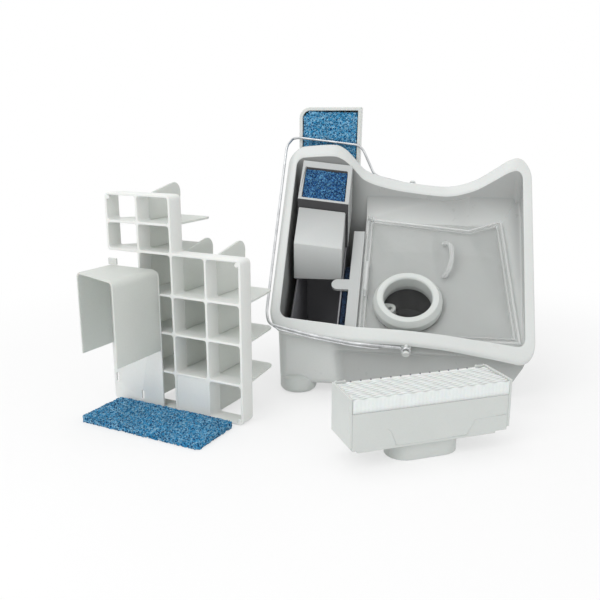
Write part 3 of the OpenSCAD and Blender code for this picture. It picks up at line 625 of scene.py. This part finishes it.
def outline_point(s, z, gx, gy):
    """Point s (0 to 1) round the tank's outline at height z, offset outwards by gx and gy."""
    hw = TANK_W / 2 + z * math.tan(math.radians(SIDE_DRAFT)) + gx + flare(z) / 2
    hd = TANK_D / 2 + z * math.tan(math.radians(END_DRAFT)) + gy
    cx = FOOT_SHIFT * (1 - z / TOP_Z) + flare(z) / 2
    r = max(CORNER_R + min(gx, gy), MIN_CORNER_R)
    # sides and corners take fixed shares of s, so that all loops line up
    k = 0
    s = s % 1.0
    while s > SIDE_SHARES[k] and k < 7:
        s -= SIDE_SHARES[k]
        k += 1
    t = min(s / SIDE_SHARES[k], 1.0)
    px, py = hw - r, hd - r
    if k % 2 == 0:
        x, y = {0: (hw, -py + 2 * py * t), 2: (px - 2 * px * t, hd),
                4: (-hw, py - 2 * py * t), 6: (-px + 2 * px * t, -hd)}[k]
    else:
        corner_x = px if k in (1, 7) else -px
        corner_y = py if k in (1, 3) else -py
        a = math.radians(90 * (k // 2) + 90 * t)
        x, y = corner_x + r * math.cos(a), corner_y + r * math.sin(a)
    return x + cx, y


def past_recess_edge(x, z, before, after):
    """Soft step from 0 to 1 across the recess's leaning left edge."""
    return smooth(RECESS_X - before, RECESS_X + after, x + RECESS_LEAN * (z - RECESS_MIDDLE_Z))


def recess(x, y, z, grow):
    """Moves a wall point back where the front wall steps in below the deck."""
    if y > -TANK_D / 2 + 26:
        return y
    share = past_recess_edge(x, z, 5, 9) * (1 - smooth(RECESS_Z - 5, RECESS_Z + 2 + grow, z))
    target = -TANK_D / 2 + RECESS_D + grow
    return y + (max(y, target) - y) * share


def deck_z(y):
    """Height of the sloping deck."""
    return DECK_Z + math.tan(DECK_PITCH) * (y + DECK_Y)


def on_deck(x, y, rise):
    """Point at a height over the sloping deck, along the deck's normal."""
    return at(x, y - rise * math.sin(DECK_PITCH), deck_z(y) + rise * math.cos(DECK_PITCH))


def near_back(y):
    return smooth(60, 84, y)


def inner_painted_shade(x, y):
    """Painted shade of the tank's inner faces: the back and the left are painted darker, as shadow."""
    return 0.72 - 0.16 * near_back(y) - 0.2 * (1 - smooth(-90, -50, x))


def deck_painted_shade(x, y, z):
    """Painted shade of the deck: its floor is nearly unshaded, its walls take the tank's inner painted
    shade, painted darker still near the back.
    """
    wall_foot = 3
    return inner_painted_shade(x, y) - 0.08 * near_back(y) if z - deck_z(y) > wall_foot else 0.9


def duct_painted_shade(x, y, z):
    """Painted light and shade of the duct: a painted highlight along its front top edge, painted shade
    downwards and to the back.
    """
    front_edge_z, back_edge_z = 160, 200
    if y < 0:
        return 1.0 if z > front_edge_z else 0.5
    return (0.72 - 0.1 * smooth(-100, -140, x)) if z > back_edge_z else 0.5


def even_painted_shade(x, y, z):
    """The same painted shade all over."""
    return 0.82


def rim(drop):
    """Level at a fixed depth below the rim."""
    return lambda x, y: rim_z(x, y) - drop


def up_to(low, top):
    """Level at a fixed height, or at another level where that is lower."""
    return lambda x, y: min(low, top(x, y))


def between(top, share):
    """Level at a share of the way from the lower wall's last level to another."""
    low = LOW_LEVELS[-1]
    return lambda x, y: min(low, top(x, y)) + max(0, top(x, y) - low) * share


def tank_loop(level, gx, gy, grow=None):
    """Loop of the tank's skin: level(x, y) gives the height, and the plan follows the walls' lean."""
    ring = []
    for i in range(LOOP_STEPS):
        z = START_Z
        for _ in range(4):
            x, y = outline_point(i / LOOP_STEPS, z, gx, gy)
            z = level(x, y)
        if grow is not None:
            y = recess(x, y, z, grow)
        ring.append((x, y, z))
    return ring


def tank_loops():
    """The skin's loops, and the numbers of the first on the lip and of the first inside."""
    middle, under, low = -60, FLANGE_T + 2.5, FOOT_H + FLOOR_T
    arc = [math.radians(a) for a in (0, 22, 45, 68, 90)]
    # outside, from the bottom up
    loops = [tank_loop(lambda x, y: FOOT_H, middle, middle), tank_loop(lambda x, y: FOOT_H, -14, -14, 0)]
    for a in arc:
        g = -FOOT_CHAMFER * (1 - math.sin(a))
        h = FOOT_H + FOOT_CHAMFER * (1 - math.cos(a))
        loops.append(tank_loop(lambda x, y: h, g, g, 0))
    for z in LOW_LEVELS:
        loops.append(tank_loop(up_to(z, rim(under)), 0, 0, 0))
    for k in range(1, HIGH_LOOPS + 1):
        loops.append(tank_loop(between(rim(under), k / HIGH_LOOPS), 0, 0, 0))
    # the flange: its underside, its rounded lip, its top and the rim's inner edge
    for f, drop in ((0.06, FLANGE_T + 0.9), (0.2, FLANGE_T), (0.5, FLANGE_T), (0.86, FLANGE_T)):
        loops.append(tank_loop(rim(drop), FLANGE_SIDE * f, FLANGE_END * f))
    first_lip = len(loops)
    for a in arc[1:]:
        g = LIP_R * math.sin(a) - LIP_R
        loops.append(tank_loop(rim(FLANGE_T - LIP_R * (1 - math.cos(a))), FLANGE_SIDE + g, FLANGE_END + g))
    for a in arc:
        g = LIP_R * math.cos(a) - LIP_R
        loops.append(tank_loop(rim(LIP_R - LIP_R * math.sin(a)), FLANGE_SIDE + g, FLANGE_END + g))
    for f, drop in ((0.6, -0.1), (0.35, -0.15), (0.1, 0.0)):
        loops.append(tank_loop(rim(drop), FLANGE_SIDE * f, FLANGE_END * f))
    for a in arc:
        g = -WALL + INNER_EDGE_R * (1 - math.sin(a))
        loops.append(tank_loop(rim(INNER_EDGE_R * (1 - math.cos(a))), g, g))
    # inside, down to the floor
    first_inside = len(loops)
    top = rim(INNER_EDGE_R + 0.3)
    for k in range(HIGH_LOOPS, 0, -1):
        loops.append(tank_loop(between(top, k / HIGH_LOOPS), -WALL, -WALL, WALL))
    for z in reversed(LOW_LEVELS):
        loops.append(tank_loop(up_to(z, top), -WALL, -WALL, WALL))
    chamfer = FOOT_CHAMFER - WALL
    for a in reversed(arc):
        g = -WALL - chamfer * (1 - math.sin(a))
        h = low + chamfer * (1 - math.cos(a))
        loops.append(tank_loop(lambda x, y: h, g, g, WALL))
    loops.append(tank_loop(lambda x, y: low, middle, middle))
    return loops, first_lip, first_inside


def tank_piece():
    """The tank's wall, flange and floor as one lofted skin, outside from the bottom up, then inside."""
    loops, first_lip, first_inside = tank_loops()
    ob = new_object("tank_shell_shape", [at(*p) for ring in loops for p in ring],
                    skin_faces(len(loops), LOOP_STEPS), LOOK["rim"])
    painted_shades = []
    for k, ring in enumerate(loops):
        for x, y, z in ring:
            # the inner faces take the tank's inner painted shade
            if k >= first_inside:
                painted_shades.append(inner_painted_shade(x, y))
            # painted shade on the front wall past the recess's left edge, for the recess's shadow under the
            # flange
            elif y < -TANK_D / 2 + 30 and k <= first_lip:
                painted_shades.append(1 - 0.3 * past_recess_edge(x, z, 6, 10))
            else:
                painted_shades.append(1.0)
    shade(ob, painted_shades)
    with editing(ob.data) as bm:
        bmesh.ops.remove_doubles(bm, verts=bm.verts, dist=2 * MERGE_DISTANCE)
        bmesh.ops.dissolve_degenerate(bm, edges=bm.edges, dist=2 * MERGE_DISTANCE)
        bmesh.ops.recalc_face_normals(bm, faces=bm.faces)
    smooth_faces(ob.data, 50)
    finish_piece(ob, "tank_shell")


tank_piece()
for node, mat, width in (
        ("tank_feet", "light", 0.001), ("front_pivot", "light", 0.0005), ("back_pivot", "light", 0.0005),
        # the suction tube and its end cap take the dark plastic as painted shade in the bore
        ("suction_tube", "painted_shade_dark", 0.0006), ("tube_lug", "pale", 0.0008),
        ("tube_end_cap", "painted_shade_dark", 0.0005),
        ("cover_handle", "edge", 0.0012), ("side_latch", "edge", 0.0008),
        ("collar", "light", 0.0010), ("collar_seal", "rubber", 0.0002),
        ("tall_tray", "pale", 0.0012), ("cell_plate", "bright", 0.0005), ("baffle_panel", "bright", 0.0007),
        ("hood", "thin", 0.0008), ("hood_tab", "pale", 0.0006),
        ("cassette_ends", "light", 0.0008), ("cassette_neck", "light", 0.0008),
        ("baffle_shelf", "thin", 0.0006), ("baffle_ribs", "thin", 0.0005)):
    dress(node, LOOK[mat], width)
# these pieces take a painted shade per vertex
for node, mat, width, tone in (
        ("inner_deck", "rim", 0.0016, deck_painted_shade), ("duct_box", "duct", 0.0012, duct_painted_shade),
        ("divider", "duct", 0.0012, even_painted_shade)):
    dress(node, LOOK[mat], width, tone=tone)


def holder_piece():
    """The foam holder; its front wall, in the gap behind the duct, takes the dark plastic as the gap's
    painted shadow.
    """
    holder = dress("foam_holder", LOOK["duct"], 0.001, tone=even_painted_shade)
    second_material(holder, LOOK["painted_shade_dark"], lambda face: face.normal.y < -0.7)


def liner_piece():
    """The dark chamber; the top edge of its left wall takes the dark plastic as painted shade from the rim.
    """
    liner = dress("chamber_liner", LOOK["dark"], 0.0006)
    left_wall = min(v.co.x for v in liner.data.vertices) + LINER_CUT * MM
    with editing(liner.data) as bm:
        bmesh.ops.bisect_plane(bm, geom=bm.verts[:] + bm.edges[:] + bm.faces[:],
                               plane_co=(left_wall, 0, 0), plane_no=(1, 0, 0))
    second_material(liner, LOOK["painted_shade_dark"], lambda face: face.center.x < left_wall and face.normal.z > 0.3)


def thick_cover(face):
    """True on the cover's ridges and outer edge, which are thicker to look through than its plate."""
    x, y, z = face.center / MM - SHIFT
    over = (z - deck_z(y)) * math.cos(DECK_PITCH)
    return over > COVER_TOP + 0.3 or abs(face.normal.x) > 0.5


def cover_knob(name, x, y):
    """Small round knob on the cover."""
    points = []
    for h, r in KNOB_PROFILE:
        for j in range(KNOB_SIDES):
            a = 2 * math.pi * j / KNOB_SIDES
            points.append(on_deck(x + r * math.cos(a), y + r * math.sin(a) * math.cos(DECK_PITCH), h))
    knob = new_object(name, points, skin_faces(len(KNOB_PROFILE), KNOB_SIDES), LOOK["edge"])
    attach(knob, "cover")


# Distance from the liner's left side at which its edge is cut from the rest, for its strip of painted shade
LINER_CUT = 4
# Height over the deck and radius of a knob, from its foot to its top
KNOB_PROFILE = [(3.2, 1.7), (8, 1.7), (10.4, 1.5), (11.4, 0.9), (11.8, 0.2)]
KNOB_SIDES = 12

holder_piece()
liner_piece()
cover = dress("cover_plate", LOOK["clear"], 0.0006)
second_material(cover, LOOK["edge"], thick_cover)
for k, (x, y) in enumerate(((-52.5, 79), (-47.5, 77))):
    cover_knob("cover_knob_%d" % k, x, y)


# ---------------------------------------------------------------- foams
foam_piece("foam_pad", LOOK["blue"], voxel=0.00085, depth=0.0024, cell=0.0034, seed=3)
foam_piece("holder_foam", LOOK["navy"], voxel=0.00085, depth=0.0020, cell=0.0032, seed=5)
foam_piece("side_foam", LOOK["painted_shade_navy"], voxel=0.0022, depth=0.0016, cell=0.0036, seed=7)
foam_piece("tall_foam", LOOK["sky"], voxel=0.0012, depth=0.0024, cell=0.0036, seed=11)


# ---------------------------------------------------------------- bail
# The two ends of the bail's pivot line
PIVOT_X, FRONT_Y, FRONT_Z, BACK_Y, BACK_Z = 7.4, -106, 70, 114, 254
WIRE_R, CLIP_R, PIN_R, EYE_CLEAR = 1.8, 0.9, 2.5, 0.3
# The eye at each end turns between these angles, in this many steps
EYE_START, EYE_END, EYE_STEPS = 110, 395, 18
# Corners of the wire from the front eye over the left side to the back eye
WIRE_CORNERS = [
    (PIVOT_X - 8, FRONT_Y, FRONT_Z + 3), (-60, FRONT_Y, 76), (-110, FRONT_Y, 84), (-166, FRONT_Y + 2, 96),
    (-171, FRONT_Y + 12, 108), (-176, 90, 312), (-170, BACK_Y - 3, 322), (-160, BACK_Y, 323),
    (-74, BACK_Y, 313), (-66, BACK_Y, 306), (-50, BACK_Y, 272), (-42, BACK_Y, 267),
    (PIVOT_X - 8, BACK_Y, BACK_Z + 3)
]
# Corners of the thin clip that runs along the front leg
CLIP_CORNERS = [
    (-24, FRONT_Y - 1, FRONT_Z + 2), (-30, FRONT_Y - 2.9, FRONT_Z + 1), (-60, FRONT_Y - 2.9, 73.6),
    (-110, FRONT_Y - 2.7, 81.4), (-152, FRONT_Y - 1.6, 90), (-160, FRONT_Y, 93.6)
]


def eye_points(centre):
    """Wire curled round the pivot line."""
    axis = Vector((0, BACK_Y - FRONT_Y, BACK_Z - FRONT_Z)).normalized()
    across = Vector((1, 0, 0))
    up = axis.cross(across).normalized()
    radius = PIN_R + EYE_CLEAR + WIRE_R
    points = []
    for i in range(EYE_STEPS + 1):
        a = math.radians(EYE_START + (EYE_END - EYE_START) * i / EYE_STEPS)
        points.append(Vector(centre) + radius * (across * math.cos(a) + up * math.sin(a)))
    return points


def bail_piece():
    front_eye, back_eye = eye_points((PIVOT_X, FRONT_Y, FRONT_Z)), eye_points((PIVOT_X, BACK_Y, BACK_Z))
    path = front_eye[::-1] + rounded_path(WIRE_CORNERS, 9, 7) + back_eye
    finish_piece(tube_piece("bail_shape", [at(*p) for p in path], WIRE_R * MM, LOOK["steel"], 14), "bail")


bail_piece()
clip_path = rounded_path(CLIP_CORNERS, 5, 4)
clip = tube_piece("bail_clip", [at(*p) for p in clip_path], CLIP_R * MM, LOOK["steel"], 10)
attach(clip, "bail_wire")


# ---------------------------------------------------------------- baffle
# Width of a cell, thickness of its walls, depth of the frame and of the shelves behind it
CELL, RIB, FRAME_D, SHELF_D = 48, 3, 22, 86
# Heights of the walls between the rows; the frame is four cells wide up to row WIDE_ROWS, then two
ROWS = [0, 49, 98, 145, 195, 229, 262]
TOP_ROW, WIDE_ROWS = 6, 4
RIGHT, STEP_X = 4 * CELL, 2 * CELL
# The shelves are this much thinner than a wall, half on each side
SHELF_GAP = 0.4
STUD_R, STUD_H, STUD_BACK = 2.6, 3.2, 3.4
# The baffle's own frame, and the same turned so that outlines in XY stand upright
baffle_m = Matrix.Translation(at(-358, -145, 0)) @ Matrix.Rotation(math.radians(-19), 4, "Z")
upright_m = baffle_m @ Matrix.Rotation(math.radians(90), 4, "X")


def mm(points):
    """Plane points in millimetres, in metres."""
    return [(x * MM, y * MM) for x, y in points]


def row_low(r):
    """Lower side of the wall below row r."""
    return 0 if r == 0 else ROWS[r] - RIB / 2


def row_high(r):
    """Upper side of the wall below row r."""
    return row_low(r) + RIB


def frame_outline():
    """Outer edge of both blocks of the baffle's face, with rounded outer corners."""
    top, mid, low = row_high(TOP_ROW), row_high(WIDE_ROWS), row_low(WIDE_ROWS)
    left, step = CELL - RIB / 2, STEP_X + RIB / 2
    corners = [(0, low, 5), (left, low, 1.2), (left, 0, 6), (RIGHT, 0, 7), (RIGHT, mid, 7),
               (step, mid, 3), (step, top, 7), (0, top, 7)]
    pts = []
    for i, (x, y, r) in enumerate(corners):
        before, after = Vector(corners[i - 1][:2]), Vector(corners[(i + 1) % len(corners)][:2])
        c = Vector((x, y))
        start, end = c + (before - c).normalized() * r, c + (after - c).normalized() * r
        pts += [tuple(p) for p in turned_corner(start, c, end, 5)]
    return pts


def cell_loops():
    """Edge of each opening in the baffle's face."""
    loops = []
    for r in range(TOP_ROW):
        walls = [k * CELL - RIB / 2 for k in (1, 2, 3)] + [RIGHT - RIB]
        if r >= WIDE_ROWS:
            walls = [0, CELL - RIB / 2, STEP_X - RIB / 2]
        for a, b in zip(walls, walls[1:]):
            loops.append(rounded_rect(a + RIB, row_high(r), b, row_low(r + 1), 3.4, 4))
    return loops


def shelf_outline(r):
    """A shelf behind the frame, seen from above, with its back right corner cut."""
    if r > WIDE_ROWS:
        return [(1, FRAME_D - 2), (STEP_X + 1, FRAME_D - 2), (STEP_X - 1, SHELF_D - 7),
                (STEP_X - 3, SHELF_D - 2), (STEP_X - 7, SHELF_D), (CELL, SHELF_D), (1, FRAME_D + 4)]
    left = CELL - RIB / 2 + 1
    return [(left, FRAME_D - 2), (RIGHT - 0.6, FRAME_D - 2), (RIGHT, FRAME_D + 2), (RIGHT - 7, SHELF_D - 9),
            (RIGHT - 9, SHELF_D - 4), (RIGHT - 14, SHELF_D), (STEP_X, SHELF_D), (left, SHELF_D - 20)]


openings = [mm(loop) for loop in cell_loops()]
front = pierced("baffle_face", mm(frame_outline()), openings, FRAME_D * MM, LOOK["bright"],
                upright_m @ Matrix.Translation((0, 0, -FRAME_D * MM)), 0.0008)
finish_piece(front, "baffle_posts")
for r in (1, 2, 3, 5):
    shelf = plate("baffle_shelf_row_%d" % r, mm(shelf_outline(r)), (RIB - SHELF_GAP) * MM, LOOK["thin"],
                  baffle_m @ Matrix.Translation((0, 0, (row_low(r) + SHELF_GAP / 2) * MM)), 0.0006)
    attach(shelf, "baffle")
    # the lowest shelf stands for the node of them all
    if r == 1:
        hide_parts("baffle_rows")
# small round studs in the frame's corners
stud_places = ((4.6, ROWS[TOP_ROW] - 4.2), (RIGHT - 5.2, ROWS[WIDE_ROWS] - 4.4), (RIGHT - 5.2, 5.0))
for k, (x, z) in enumerate(stud_places):
    outline = rounded_rect(x - STUD_R, z - STUD_R, x + STUD_R, z + STUD_R, STUD_R - 0.1, 6)
    stud = pierced("corner_stud_%d" % k, mm(outline), [], STUD_H * MM, LOOK["bright"],
                   upright_m @ Matrix.Translation((0, 0, -STUD_BACK * MM)), 0.0006)
    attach(stud, "baffle")


# ---------------------------------------------------------------- cassette
CASS_L, CASS_D, NECK_H, HOUSE_H, MEDIA_H, PLEATS = 186, 52, 19.5, 42.5, 16, 10
# Top of the housing, from which the pleats and the comb rise
HOUSING_TOP = NECK_H + HOUSE_H
# Place of the pleats in the cassette: left, right, front and back
MEDIA_X0, MEDIA_X1, MEDIA_Y0, MEDIA_Y1 = 3.3, CASS_L - 3.3, 0.5, CASS_D - 4.5
# Steps of the pleats' mesh: in one fold, along a fold, and down the outer folds
FOLD_STEPS, LENGTH_STEPS, SKIRT_STEPS = 12, 180, 6
# Height of a fold, distance of the comb's teeth and of the outer folds' small waves
FOLD_H, TOOTH_PITCH, WAVE_PITCH = 5.0, 13.6, 4.3
# The comb: its distance from the housing's ends, its hooks and their distance from the ends
COMB_END, HOOKS, HOOK_END, HOOK_HALF = 15, 13, 17, 0.8
# Length of a slot in an end tab, and radius of a welded seam
SLOT_L, SEAM_R = 8, 0.35
cass_m = Matrix.Translation(at(-44.5, -301.9, 0)) @ Matrix.Rotation(math.radians(27), 4, "Z")


def pleat_points():
    """Points and painted shades of the folds, one line across all of them after another; the valleys between
    folds are painted darker as shade.
    """
    rng = random.Random(4)
    sway = [rng.uniform(-0.25, 0.25) for _ in range(PLEATS + 1)]
    rows = PLEATS * FOLD_STEPS
    points, painted_shades = [], []
    for j in range(LENGTH_STEPS + 1):
        x = MEDIA_X0 + (MEDIA_X1 - MEDIA_X0) * j / LENGTH_STEPS
        for i in range(rows + 1):
            k = min(int(i / rows * PLEATS), PLEATS - 1)
            fold = abs(math.cos(math.pi * (i / rows * PLEATS - k))) ** 0.6
            ripple = 0.5 + 0.5 * math.cos(2 * math.pi * (x - 15) / TOOTH_PITCH + 0.9 * k)
            shift = 0.5 * math.sin(2 * math.pi * x / TOOTH_PITCH + k) + sway[k]
            y = MEDIA_Y0 + (MEDIA_Y1 - MEDIA_Y0) * i / rows + shift * (1 - fold)
            z = HOUSING_TOP + MEDIA_H - FOLD_H - 0.2 + FOLD_H * fold - 0.9 * ripple * fold
            z += 0.25 * noise.noise(Vector((x * 0.25, y * 0.5, k)))
            points.append((x, min(max(y, MEDIA_Y0), MEDIA_Y1), min(z, HOUSING_TOP + MEDIA_H)))
            # painted shade: darker in the valleys between the folds and where the comb dips them
            painted_shades.append(0.46 + 0.54 * fold ** 2 * (1 - 0.2 * ripple))
    return points, painted_shades


def add_skirt(points, faces, painted_shades, i, sign):
    """Adds an outer fold that runs from line i of the folds down to the housing."""
    n, across = PLEATS * FOLD_STEPS + 1, LENGTH_STEPS + 1
    start = len(points)
    low = HOUSING_TOP + 0.2
    for s in range(1, SKIRT_STEPS + 1):
        t = s / SKIRT_STEPS
        for j in range(across):
            x, y, z = points[j * n + i]
            phase = 2 * math.pi * x / WAVE_PITCH
            wave = 0.14 * math.sin(phase + 2 * math.sin(x * 0.21)) * math.sin(math.pi * t)
            points.append((x, y + sign * wave, z + (low - z) * t))
            # painted shade: darker towards the housing at the fold's foot, with faint painted light and
            # shade over its small waves
            painted_shades.append(0.95 + 0.02 * math.sin(phase) - 0.14 * smooth(0.7, 1, t))
    for s in range(SKIRT_STEPS):
        for j in range(LENGTH_STEPS):
            c = start + s * across + j
            a, b = (c - across, c - across + 1) if s else (j * n + i, (j + 1) * n + i)
            faces.append([a, b, c + 1, c] if sign > 0 else [a, c, c + 1, b])


def media_piece():
    """Pleats along the cassette, each a soft fold that wavers where the comb holds it."""
    points, painted_shades = pleat_points()
    rows = PLEATS * FOLD_STEPS
    n = rows + 1
    faces = []
    for j in range(LENGTH_STEPS):
        for i in range(rows):
            faces.append([j * n + i, (j + 1) * n + i, (j + 1) * n + i + 1, j * n + i + 1])
    add_skirt(points, faces, painted_shades, 0, 1)
    add_skirt(points, faces, painted_shades, rows, -1)
    ob = new_object("pleats", [cass_m @ (Vector(p) * MM) for p in points], faces, LOOK["pleats"])
    shade(ob, painted_shades)
    smooth_faces(ob.data, 55)
    s = ob.modifiers.new("body", "SOLIDIFY")
    s.thickness = 0.0004
    s.offset = -1
    finish_piece(ob, "pleated_media")


def block(name, low, high, mat, edge):
    """Flat block of the cassette with rounded edges, given by two opposite corners."""
    outline = rounded_rect(low[0], low[1], high[0], high[1], 0.4, 3)
    return plate(name, mm(outline), (high[2] - low[2]) * MM, mat,
                 cass_m @ Matrix.Translation((0, 0, low[2] * MM)), edge * MM)


def comb_pieces():
    """Comb behind the pleats: a low strip with a small hook between each two teeth."""
    top = HOUSING_TOP + MEDIA_H
    strip = block("comb_strip", (COMB_END, CASS_D - 3, HOUSING_TOP),
                  (CASS_L - COMB_END, CASS_D - 0.5, top - 0.8), LOOK["paper"], 0.4)
    finish_piece(strip, "media_comb")
    for k in range(HOOKS):
        x = HOOK_END + (k + 0.3) * (CASS_L - 2 * HOOK_END) / HOOKS
        hook = block("comb_hook_%d" % k, (x - HOOK_HALF, CASS_D - 2.7, top - 1.2),
                     (x + HOOK_HALF, CASS_D - 1.1, top + 0.8), LOOK["dark"], 0.3)
        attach(hook, "cassette")
    # each slot in an end tab is drawn as a thin dark sheet, painted shade in place of an opening
    for k, x in enumerate((5, CASS_L - 5 - SLOT_L)):
        slot = block("painted_slot_shade_%d" % k, (x, CASS_D - 2.3, top + 1.8), (x + SLOT_L, CASS_D - 0.9, top + 2.1),
                     LOOK["dark"], 0.1)
        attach(slot, "cassette")


def housing_piece():
    """The housing with a smooth front face: its ribs are pushed back into it."""
    ob = tidy_copy("cassette_housing", "cassette_housing_shape", LOOK["light"])
    into_cassette = cass_m.inverted()
    with editing(ob.data) as bm:
        for v in bm.verts:
            p = into_cassette @ v.co
            if p.y < 0:
                v.co = cass_m @ Vector((p.x, 0, p.z))
        bmesh.ops.triangulate(bm, faces=bm.faces)
        bmesh.ops.remove_doubles(bm, verts=bm.verts, dist=MERGE_DISTANCE)
        bmesh.ops.dissolve_degenerate(bm, edges=bm.edges, dist=MERGE_DISTANCE)
        bmesh.ops.dissolve_limit(bm, angle_limit=FLAT_ANGLE, verts=bm.verts, edges=bm.edges)
    smooth_faces(ob.data, SHARP_ANGLE)
    bevel(ob, 0.0008)
    finish_piece(ob, "cassette_housing")


def seam_pieces():
    """Faint welded seams on the housing's front face, as lines over the neck."""
    lines = [[(42, 22), (46, 19.5), (52, 3)], [(52, 3), (134, 3)], [(134, 3), (143, 19), (CASS_L - 5, 20.5)]]
    front_m = cass_m @ Matrix.Rotation(math.radians(90), 4, "X")
    for k, line in enumerate(lines):
        path = [front_m @ Vector((x * MM, (NECK_H + z) * MM, 0)) for x, z in line]
        seam = tube_piece("seam_%d" % k, path, SEAM_R * MM, LOOK["light"], 8)
        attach(seam, "cassette")


media_piece()
comb_pieces()
housing_piece()
seam_pieces()


# ---------------------------------------------------------------- camera, light and floor
SENSOR = 36
# Focal length and width of the photograph, in its pixels
FOCAL_PX = 714
IMAGE_PX = 600
CAMERA_PLACE = (9.9, -961.4, 342)
CAMERA_DIP = 13.8
CAMERA_TURN = 9


def photo_camera():
    cam_data = bpy.data.cameras.new("camera")
    cam_data.sensor_width = SENSOR
    cam_data.sensor_height = SENSOR
    cam_data.sensor_fit = "HORIZONTAL"
    cam_data.lens = FOCAL_PX / IMAGE_PX * SENSOR
    cam_data.clip_start = 0.01
    cam_data.clip_end = 50
    cam = linked("camera", cam_data)
    cam.location = at(*CAMERA_PLACE)
    cam.rotation_euler = (math.radians(90 - CAMERA_DIP), 0, math.radians(CAMERA_TURN))
    bpy.context.scene.camera = cam


photo_camera()


def seen_rays(nt):
    """1 for the camera's own rays and those of gloss and clear plastic, 0 for the rest of the light."""
    rays = nt.nodes.new("ShaderNodeLightPath").outputs
    seen = rays["Is Camera Ray"]
    for kind in ("Is Glossy Ray", "Is Transmission Ray"):
        either = nt.nodes.new("ShaderNodeMath")
        either.operation = "MAXIMUM"
        nt.links.new(seen, either.inputs[0])
        nt.links.new(rays[kind], either.inputs[1])
        seen = either.outputs[0]
    return seen


def background(nt, strength):
    """Plain white surroundings of one strength."""
    node = nt.nodes.new("ShaderNodeBackground")
    node.inputs[0].default_value = (1, 1, 1, 1)
    node.inputs[1].default_value = strength
    return node.outputs[0]


def studio_world():
    """White where the camera sees the surroundings, and a little dimmer as a light on the object."""
    world = bpy.data.worlds.new("studio")
    bpy.context.scene.world = world
    world.use_nodes = True
    nt = world.node_tree
    nt.nodes.clear()
    out = nt.nodes.new("ShaderNodeOutputWorld")
    mix = nt.nodes.new("ShaderNodeMixShader")
    nt.links.new(seen_rays(nt), mix.inputs[0])
    nt.links.new(background(nt, AMBIENT), mix.inputs[1])
    nt.links.new(background(nt, 1.0), mix.inputs[2])
    nt.links.new(mix.outputs[0], out.inputs[0])


def area(name, place, target, size, power):
    """Soft rectangular light at a place in metres, turned to a target."""
    d = bpy.data.lights.new(name, "AREA")
    d.shape = "RECTANGLE"
    d.size, d.size_y = size
    d.energy = power
    o = linked(name, d)
    o.location = place
    o.rotation_euler = (Vector(target) - Vector(place)).to_track_quat("-Z", "Y").to_euler()


def floor_material():
    """Pale floor that keeps the object's shadow near it and meets the white backdrop further out."""
    t = Tree("floor")
    pale = t.mix(t.noise(3, 2), (0.86, 0.86, 0.86), (0.9, 0.9, 0.9))
    matt = t.principled({"Base Color": pale, "Roughness": 0.9, "Specular IOR Level": 0.1})
    glow = t.add("ShaderNodeEmission", {"Color": (1, 1, 1, 1), "Strength": 1.0}).outputs[0]
    distance = t.add("ShaderNodeVectorMath", {0: t.coord}, operation="LENGTH").outputs["Value"]
    far = t.ramp(t.math("MULTIPLY", distance, 0.5), [(0.17, (0.6,) * 3), (0.42, (1, 1, 1))], "EASE")
    return t.finish(t.blend(t.math("MULTIPLY", far, seen_rays(t.nt)), matt, glow))


AMBIENT = 0.79
FLOOR_SIDE = 6
FLOOR_BACK = 8
# The floor lies this far below the object, so that the two don't share a plane
FLOOR_DROP = 0.0002

studio_world()
area("key", (-0.7, -1.3, 1.35), (0, 0, 0.12), (1.1, 1.1), 11)
area("fill", (1.5, -0.9, 0.7), (0.1, 0, 0.1), (1.0, 1.0), 1.5)
area("top", (-0.3, 0.2, 1.9), (0.1, 0, 0.1), (1.0, 0.8), 4)

floor_corners = [(-FLOOR_SIDE, -FLOOR_SIDE, 0), (FLOOR_SIDE, -FLOOR_SIDE, 0),
                 (FLOOR_SIDE, FLOOR_BACK, 0), (-FLOOR_SIDE, FLOOR_BACK, 0)]
floor = new_object("floor", floor_corners, [[0, 1, 2, 3]], floor_material(), soft=False)
floor.location.z = -FLOOR_DROP

bpy.context.scene.view_settings.view_transform = "Standard"
